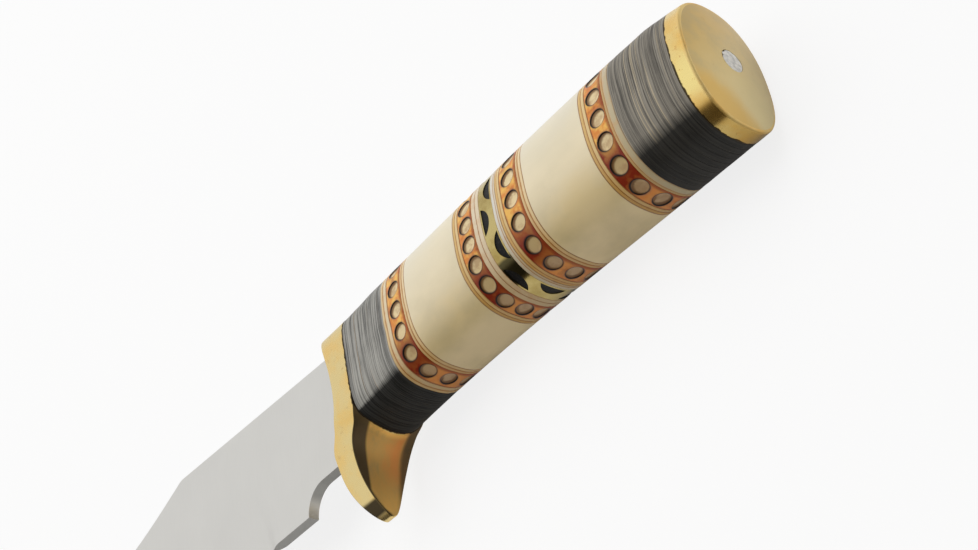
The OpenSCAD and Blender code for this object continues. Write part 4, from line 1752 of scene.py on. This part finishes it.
@dataclass
class Guard:
    """The cast brass guard: a flat-fronted plate with a coved finger quillon."""

    form: HandleForm
    place: Place
    waist: float = 6.55
    flare: float = 3.3
    flare_span: tuple[float, float] = (-5.0, 12.0)
    flare_rush: float = 0.6
    sweep: float = 4.48
    sweep_span: tuple[float, float] = (-10.5, -19.4)
    reach: float = 35.5
    root: float = -12.0
    width: float = 17.6
    taper: float = 0.21
    flank_flare: float = 0.010
    flank_span: tuple[float, float] = (-5.0, 10.9)
    tip_squareness: float = 3.0
    root_round: float = 1.3
    far_root: float = 0.35
    blend_top: float = -7.0
    blend_end: float = -15.0
    blend_length: float = 5.0
    cove_depth: float = 5.44
    cove_run: float = 2.18
    cove_start: float = -11.3
    cove_ease: float = 3.24
    round_front: float = 4.86
    round_back: float = 2.25
    tip_length: float = 12.0
    centre: float = -5.0
    edge: float = 0.28
    seam_edge: float = 0.05
    seam_edge_run: float = 3.0
    marks: GuardStainsAndReflections = GuardStainsAndReflections()
    points: int = 320
    inner_steps: int = 4
    outer_steps: int = 34
    corner_steps: int = 4
    side_steps: int = 4
    front_steps: int = 16
    inner_from: float = 0.06
    front_to: float = 0.05
    clear: float = 0.02

    # The search for the outline, and how often a face and the outline are brought together
    FARTHEST = 45.0
    HALVINGS = 40
    MEETINGS = 8

    def build(self, finish: Finish) -> None:
        """Makes the guard: rings from its back's middle, over the flanks, to its front's middle.

        Args:
            finish: its finish.
        """
        angle = self._directions()
        back, front = self._edge_of(angle, self._back), self._edge_of(angle, self._front)
        outer = back[0] - self._rounding(angle, back[0])
        inner = np.minimum(self._radius(angle, 0.0, section_only=True), outer - self.clear)
        turns = np.linspace(0, QUARTER_TURN, self.corner_steps + 1)[1:]
        middle = np.linspace(self.inner_from, 1, self.inner_steps)
        cove = np.linspace(0, 1, self.outer_steps)[1:]
        side = np.linspace(0, 1, self.side_steps + 2)[1:-1]
        plate = np.linspace(1, self.front_to, self.front_steps)
        rings = [self._at(angle, inner * t, self._back) for t in middle]
        rings += [self._at(angle, inner + (outer - inner) * (t + t * t) / 2, self._back) for t in cove]
        rings += [self._corner(angle, back, turn, 1.0) for turn in turns]
        low, high = rings[-1], self._corner(angle, front, QUARTER_TURN, -1.0)
        rings += [low + (high - low) * t for t in side]
        rings += [self._corner(angle, front, turn, -1.0) for turn in reversed(turns)]
        rings += [self._at(angle, (front[0] - self.edge) * t, self._front) for t in plate]
        stacked = np.stack(rings)
        faces = looped(stacked, closed=False, flipped=True, capped=True)
        sheet = Sheet(stacked.reshape(-1, 3), faces, self._marked(stacked, angle, back[0]))
        Piece("guard_look", sheet, finish, Slot.BRASS, ("guard",)).build(self.place)

    def _marked(self, rings: np.ndarray, angle: np.ndarray, edge: np.ndarray) -> dict[str, np.ndarray]:
        """Gives what the finish needs to know of each point.

        Args:
            rings: the guard's rings of points.
            angle: the directions of each ring's points.
            edge: the distances from the centre at which the back face ends.

        Returns:
            Distances from the discs, whether a point is in the cove, how far from the cove's rim,
            how far down the cove, how dark the painted reflections of the stripe and near the tip are,
            how orange the blotch is, and whether the point is on the far side.
        """
        marks = self.marks
        x, y, z = np.moveaxis(rings, -1, 0)
        ring = np.arange(len(rings))[:, None]
        radius = np.hypot(y - self.centre, z)
        below = radius - self._radius(angle, 0.0, section_only=True)
        # The first rings of the flanks and of the front face
        flank = self.inner_steps + self.outer_steps + self.corner_steps - 2
        front = flank + self.side_steps + self.corner_steps + 1
        cove = (ring < flank) & (below > self.clear)
        # Painted dark reflections: the stripe along the cove's seen rim and the patch on the flank near the
        # tip
        stripe = marks.stripe(y, self._half(x, y, z) - z) * cove
        painted_tip_reflection = marks.painted_tip_reflection(y) * ((ring >= flank) & (ring < front))
        values = {
            "seam": np.abs(x) + marks.seam_slope * np.abs(below) * cove,
            "cove": cove,
            "rim": edge - radius,
            "down": np.clip((marks.down_from - y) / (self.reach + marks.down_from), 0, 1),
            "stripe": (stripe + painted_tip_reflection) * (z > 0),
            "blotch": marks.blotch(y, z),
            "far": np.clip(-z / marks.far_from, 0, 1),
        }
        return {name: value.ravel() for name, value in values.items()}

    def _tip(self, y: np.ndarray) -> np.ndarray:
        """Gives how far the tip's rounding has come at a height: 0 above it and 1 at its end."""
        return (np.maximum(0, -y - self.reach + self.tip_length) / self.tip_length) ** 2

    def _front(self, y: np.ndarray, z: np.ndarray) -> np.ndarray:
        """Gives the front face, which is the same across.

        Args:
            y: heights.
            z: places across, which are not used.

        Returns:
            Places along the knife.
        """
        up = np.clip((y - self.flare_span[0]) / (self.flare_span[1] - self.flare_span[0]), 0, 1)
        flare = up * up * (1 + self.flare_rush * (1 - up))
        sweep = ease((y - self.sweep_span[0]) / (self.sweep_span[1] - self.sweep_span[0]))
        return -self.waist - self.flare * flare - self.sweep * sweep + self.round_front * self._tip(y)

    def _back(self, y: np.ndarray, z: np.ndarray) -> np.ndarray:
        """Gives the back face, with the cove under the discs' outline.

        Args:
            y: heights.
            z: places across.

        Returns:
            Places along the knife.
        """
        radius, reach = self._section(y, z)
        below = np.maximum(0, radius - reach)
        depth = self.cove_depth * (1 - np.exp(-below / self.cove_run))
        depth = depth * ease((self.cove_start - y) / self.cove_ease)
        return -(depth - self.round_back * self._tip(y)) * (below > 0)

    def _section(self, y: np.ndarray, z: np.ndarray) -> tuple[np.ndarray, np.ndarray]:
        """Sets points against the handle's section.

        Args:
            y: heights.
            z: places across.

        Returns:
            Distances from the section's middle, and how far the section reaches there.
        """
        off = y - self.form.middle(0.0)
        radius = np.maximum(TINIEST, np.hypot(off, z))
        return radius, self.form.reach(0.0, off / radius, z / radius)

    def _inside(self, x: Numbers, y: np.ndarray, z: np.ndarray, section_only: bool) -> np.ndarray:
        """Sets points against the guard's outline.

        Args:
            x: places along the knife.
            y: heights.
            z: places across.
            section_only: whether the outline is the handle's section, without the quillon.

        Returns:
            Values that are under 1 inside the outline.
        """
        radius, reach = self._section(y, z)
        if section_only:
            return radius / reach
        low = np.where(y < -self.reach, 2.0, np.abs(z) / np.maximum(TINIEST, self._half(x, y, z)))
        return np.where(y < self.flank_span[0], low, radius / reach)

    def _half(self, x: Numbers, y: np.ndarray, z: np.ndarray) -> np.ndarray:
        """Gives half of the guard's width, where the handle's section above runs into the quillon.

        Args:
            x: places along the knife.
            y: heights.
            z: places across, whose sign tells the side.

        Returns:
            The half widths.
        """
        angle = np.linspace(QUARTER_TURN, 2 * QUARTER_TURN, self.form.ROUGH_ROUND)
        sides = (self.form.point(0.0, side * angle) * [1, -1, side] for side in (1, -1))
        seen, far = (np.interp(-y, side[:, 1], side[:, 2], right=0.0) for side in sides)
        section = np.where(z > 0, seen, far)
        down = np.maximum(0, self.root - y)
        t = np.minimum(1, down / (self.reach + self.root))
        flare = 1 - self.flank_flare * x * ease((self.flank_span[0] - y) / self.flank_span[1])
        quillon = np.maximum(1, self.width / 2 - self.taper * down) * np.sqrt(1 - t**self.tip_squareness)
        blend = self.root_round * ease((self.blend_top - y) / self.blend_length)
        blend = blend * (1 - ease((self.blend_end - y) / self.blend_length))
        blend = blend * np.where(z > 0, 1.0, self.far_root)
        return (section + quillon + np.hypot(section - quillon, blend)) / 2 * flare

    def _radius(self, angle: np.ndarray, x: Numbers, section_only: bool = False) -> np.ndarray:
        """Finds the outline by halving.

        Args:
            angle: directions from the centre.
            x: places along the knife.
            section_only: whether the outline is the handle's section, without the quillon.

        Returns:
            The outline's distances from the centre.
        """
        low, high = np.zeros_like(angle), np.full_like(angle, self.FARTHEST)
        for _ in range(self.HALVINGS):
            mid = (low + high) / 2
            outside = self._inside(x, *self._around(angle, mid), section_only) > 1
            low, high = np.where(outside, low, mid), np.where(outside, mid, high)
        return low

    def _around(self, angle: np.ndarray, radius: np.ndarray) -> tuple[np.ndarray, np.ndarray]:
        """Gives heights and places across at distances from the centre."""
        return self.centre + radius * np.cos(angle), radius * np.sin(angle)

    def _directions(self) -> np.ndarray:
        """Gives directions from the centre that meet the outline at equal steps."""
        angle = np.linspace(0, FULL_TURN, self.form.FINE_ROUND)
        walked = walked_along(np.stack(self._around(angle, self._radius(angle, -self.waist)), 1))
        return np.interp(np.arange(self.points) / self.points * walked[-1], walked, angle)

    def _edge_of(self, angle: np.ndarray, face: Callable[..., np.ndarray]) -> tuple[np.ndarray, np.ndarray]:
        """Finds where a face meets the flanks.

        Args:
            angle: directions from the centre.
            face: gives the face's places along the knife.

        Returns:
            Distances from the centre, and places along the knife.
        """
        x = np.full_like(angle, -self.waist)
        for _ in range(self.MEETINGS):
            radius = self._radius(angle, x)
            x = face(*self._around(angle, radius))
        return radius, x

    def _at(self, angle: np.ndarray, radius: np.ndarray, face: Callable[..., np.ndarray]) -> np.ndarray:
        """Gives a ring of points on a face."""
        y, z = self._around(angle, radius)
        return np.stack([face(y, z), y, z], 1)

    def _corner(
        self, angle: np.ndarray, edge: tuple[np.ndarray, np.ndarray], turn: float, side: float
    ) -> np.ndarray:
        """Gives a ring of the rounded edge between a face and the flanks.

        Args:
            angle: the directions.
            edge: where the face meets the flanks.
            turn: how far round the corner, from 0 at the face to a quarter turn at the flank.
            side: 1 for the back face and -1 for the front face.

        Returns:
            The ring.
        """
        rounding, face = self.edge, self._front
        if side > 0:
            rounding, face = self._rounding(angle, edge[0]), self._back
        ring = self._at(angle, edge[0] - rounding * (1 - math.sin(turn)), face)
        ring[:, 0] -= side * rounding * (1 - math.cos(turn))
        return ring

    def _rounding(self, angle: np.ndarray, radius: np.ndarray) -> np.ndarray:
        """Gives the back edge's radius, which is near nothing where the discs go on from it."""
        share = ease((self.cove_start - self._around(angle, radius)[0]) / self.seam_edge_run)
        return self.seam_edge + (self.edge - self.seam_edge) * share


@dataclass
class Blade:
    """The clip-point blade with its choil, plunge line and flat grind."""

    place: Place
    thickness: float = 2.7
    length: float = 142.0
    spine_height: float = 12.7
    spine_rise: float = 3.5
    root_depth: float = 15.2
    edge_depth: float = 21.5
    heel: float = 31.9
    plunge: float = 45.0
    plunge_lean: float = 4.5
    runout: float = 5.0
    grind_height: float = 21.0
    edge_thickness: float = 0.35
    clip_start: float = 88.0
    clip_hollow: float = 2.2
    point_height: float = 6.0
    belly_start: float = 78.0
    belly_power: float = 2.2
    hidden: float = 5.0
    bevel: float = 0.09
    rows: int = 40
    root_steps: int = 14
    choil_steps: int = 18
    heel_step: float = 0.45
    heel_run: float = 12.0
    far_steps: int = 70
    far_gap: float = 0.004
    far_rush: float = 1.15

    def build(self, finish: Finish) -> None:
        """Makes the blade.

        Args:
            finish: its finish.
        """
        low, high = self._lower(), self._upper()
        levels = np.linspace(0, 1, self.rows)[:, None, None]
        flat = low * (1 - levels) + high * levels
        half = self._half_thickness(flat[..., 0], flat[..., 1], low[None, :, 1])[..., None]
        seen, far = (np.concatenate([flat, side * half], axis=-1) for side in (1, -1))
        rings = np.concatenate([seen, far[::-1]]) * [-1, 1, 1]
        count = rings.shape[1]
        faces = [
            (b * count + i, b * count + i + 1, a * count + i + 1, a * count + i)
            for a in range(len(rings))
            for b in [(a + 1) % len(rings)]
            for i in range(count - 1)
        ]
        for column in (0, count - 1):
            for a in range(self.rows - 1):
                rows = (a, a + 1, len(rings) - 2 - a, len(rings) - 1 - a)
                quad = [row * count + column for row in rows]
                faces.append(tuple(reversed(quad) if column else quad))
        sheet = Sheet(rings.reshape(-1, 3), faces)
        Piece("blade_look", sheet, finish, Slot.STEEL, ("blade",), bevel=self.bevel).build(self.place)

    @property
    def _choil(self) -> float:
        """Gives the choil's radius."""
        return self.edge_depth - self.root_depth

    def _spine(self, u: np.ndarray) -> np.ndarray:
        """Gives the spine's height, which rises a little and then falls along the clip.

        Args:
            u: distances forward of the guard's back face.

        Returns:
            The heights.
        """
        rise = math.tan(math.radians(self.spine_rise))
        start = self.spine_height + rise * self.clip_start
        s = np.clip((u - self.clip_start) / (self.length - self.clip_start), 0, 1)
        clip = start + (self.point_height - start) * s - self.clip_hollow * np.sin(np.pi * s)
        return np.where(u < self.clip_start, self.spine_height + rise * u, clip)

    def _edge(self, u: np.ndarray) -> np.ndarray:
        """Gives the height of the cutting edge."""
        s = np.clip((u - self.belly_start) / (self.length - self.belly_start), 0, 1)
        return -self.edge_depth + (self.edge_depth + self.point_height) * s**self.belly_power

    def _lower(self) -> np.ndarray:
        """Gives the lower outline: root, choil, heel and cutting edge, close where the grind starts."""
        radius = self._choil
        root = np.linspace(self.hidden, self.heel - radius, self.root_steps, endpoint=False)
        turn = np.linspace(QUARTER_TURN, 0, self.choil_steps)
        choil = [self.heel - radius * (1 - np.cos(turn)), radius * np.sin(turn) - self.edge_depth]
        near = np.arange(self.heel, self.plunge + self.heel_run, self.heel_step)
        left = np.linspace(1, self.far_gap, self.far_steps)[1:] ** self.far_rush
        edge = np.concatenate([near, self.length - (self.length - near[-1]) * left])[1:]
        return np.hstack([[root, 0 * root - self.root_depth], choil, [edge, self._edge(edge)]]).T

    def _upper(self) -> np.ndarray:
        """Gives the upper outline, with a point for each point of the lower one."""
        along = self._lower()[:, 0].copy()
        choil = slice(self.root_steps, self.root_steps + self.choil_steps)
        along[choil] = np.linspace(self.heel - self._choil, self.heel, self.choil_steps)
        return np.stack([along, self._spine(along)], 1)

    def _half_thickness(self, u: np.ndarray, y: np.ndarray, low: np.ndarray) -> np.ndarray:
        """Gives half of the blade's thickness.

        Args:
            u: distances forward of the guard's back face.
            y: heights.
            low: the height of the outline below each point.

        Returns:
            The half thicknesses.
        """
        full = self.thickness / 2
        height = y - low
        slope = (full - self.edge_thickness / 2) / self.grind_height
        ground = self.edge_thickness / 2 + height * slope
        line = self.plunge + self.plunge_lean * height / self.grind_height
        run = ease((u - line) / self.runout)
        return np.minimum(full, full - run * (full - np.minimum(full, ground)))


# The studio


class Floor:
    """A plain pale floor that the knife lies on."""

    half = 3.0
    pale: Colour = (0.86, 0.86, 0.86)
    white = 0.83
    lift = 0.14

    def build(self) -> None:
        """Makes the floor, a little brighter where the camera or a reflection sees it."""
        mesh = bpy.data.meshes.new("floor")
        corners = [(x * self.half, y * self.half, 0) for x, y in ((-1, -1), (1, -1), (1, 1), (-1, 1))]
        mesh.from_pydata(corners, [], [(0, 1, 2, 3)])
        mesh.materials.append(self._material())
        floor = added("floor", mesh)
        floor.location.z = CAD_BOX[0][2]

    def _material(self) -> bpy.types.Material:
        """Gives the floor's material."""
        material = bpy.data.materials.new("pale_floor")
        material.use_nodes = True
        nodes = Nodes(material.node_tree)
        camera, glossy, through = (nodes.ray(kind) for kind in ("Camera", "Glossy", "Transmission"))
        plain = nodes.add("ShaderNodeBsdfDiffuse", {}, {"Color": self.pale})
        white = nodes.add("ShaderNodeEmission", {}, {"Color": WHITE, "Strength": 1.0})
        share = camera * self.white + (glossy + through).clamp() * self.lift
        mixed = nodes.add("ShaderNodeMixShader", {}, {0: share, 1: plain.outputs[0], 2: white.outputs[0]})
        nodes.add("ShaderNodeOutputMaterial", {}, {"Surface": mixed.outputs[0]})
        return material


@dataclass(frozen=True)
class Lamp:
    """A soft box."""

    name: str
    at: Vec
    size: float
    power: float

    def build(self) -> None:
        """Makes the lamp, aimed at the knife. The metal shows the studio's walls and not the lamp."""
        light = bpy.data.lights.new(self.name, "AREA")
        light.shape = "SQUARE"
        light.size = self.size
        light.energy = self.power
        lamp = added(self.name, light)
        lamp.location = self.at
        lamp.rotation_mode = "QUATERNION"
        lamp.rotation_quaternion = (-Vector(self.at)).to_track_quat("-Z", "Y")
        lamp.visible_glossy = False


class Studio:
    """The world's light: bright above the spine side, darker in front of the edge side."""

    bright_way: Vec = (-0.303, 0.505, 0.808)
    bright = 0.86
    dim = 0.10
    dim_colour: Colour = (1.0, 0.90, 0.76)
    edge = (0.36, 0.56)
    lamps = (Lamp("key_box", at=(-0.10, 0.46, 0.97), size=1.55, power=7.0),)

    def build(self) -> None:
        """Makes the world and the lamps."""
        world = bpy.data.worlds.new("studio")
        world.use_nodes = True
        bpy.context.scene.world = world
        nodes = Nodes(world.node_tree)
        way = nodes.add("ShaderNodeTexCoord").outputs["Generated"]
        wall = nodes.part(way, self.bright_way).step(*self.edge)
        colour = nodes.blend(wall, self.dim_colour, WHITE)
        strength = self.dim + wall * (self.bright - self.dim)
        light = nodes.add("ShaderNodeBackground", {}, {"Color": colour, "Strength": strength})
        white = nodes.add("ShaderNodeBackground", {}, {"Color": WHITE, "Strength": 1.0})
        shaders = {0: nodes.ray("Camera"), 1: light.outputs[0], 2: white.outputs[0]}
        mixed = nodes.add("ShaderNodeMixShader", {}, shaders)
        nodes.add("ShaderNodeOutputWorld", {}, {"Surface": mixed.outputs[0]})
        for lamp in self.lamps:
            lamp.build()


@dataclass(frozen=True)
class PhotoCamera:
    """The camera of the photograph, placed from the knife."""

    place: Place
    at: Vec = (216.09, -184.68, 174.87)
    right: Vec = (0.6105, -0.1473, -0.7782)
    up: Vec = (0.5453, 0.7908, 0.2782)
    lens: float = 55.30
    sensor: float = 36.0
    clip: tuple[float, float] = (0.01, 20.0)

    def build(self) -> None:
        """Makes the camera and gives it to the scene."""
        data = bpy.data.cameras.new("photo_camera")
        data.lens = self.lens
        data.sensor_width = self.sensor
        data.clip_start, data.clip_end = self.clip
        camera = added("photo_camera", data)
        right, up = Vector(self.right).normalized(), Vector(self.up).normalized()
        back = right.cross(up).normalized()
        turn = Matrix((right, back.cross(right), back)).transposed().to_4x4()
        camera.matrix_world = Matrix.Translation(Vector(self.place(self.at).tolist())) @ turn
        bpy.context.scene.camera = camera


def dress_core() -> None:
    """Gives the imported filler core, which stays as it is, its finish."""
    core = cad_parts["handle_core"]
    core.data.materials.clear()
    core.data.materials.append(ResinFinish().material)


@dataclass(frozen=True)
class Dots:
    """How many pits a dotted ring has, and by how much of a step they are turned."""

    count: int
    turn: float


DOTTED_RINGS = (Dots(16, 0.13), Dots(18, 0.03), Dots(16, 0.25), Dots(16, 0.12))


def main() -> None:
    """Builds the studio, then the knife from blade to pommel."""
    logging.basicConfig(level=logging.INFO, format="%(name)s: %(message)s")
    bpy.context.scene.view_settings.view_transform = "Standard"
    place = Place.measured(HandleForm.drop_at_guard)
    length = place.span("pommel")[1] - Pommel.rise
    form = HandleForm(length)
    LOG.info("handle form %.2f mm long", length)
    PhotoCamera(place).build()
    Studio().build()
    Floor().build()
    Blade(place).build(SteelFinish())
    Guard(form, place).build(GuardBrassFinish())
    Stack(form, place).build()
    stained = StainedFinish()
    for number, dots in enumerate(DOTTED_RINGS, 1):
        PittedRing(form, place, f"dotted_ring_{number}", dots.count, dots.turn, seed=number).build(stained)
    WaveBand(form, place).build()
    Pommel(form, place).build(BrassFinish(), SatinBrassFinish())
    dress_core()


if __name__ == "__main__":
    main()
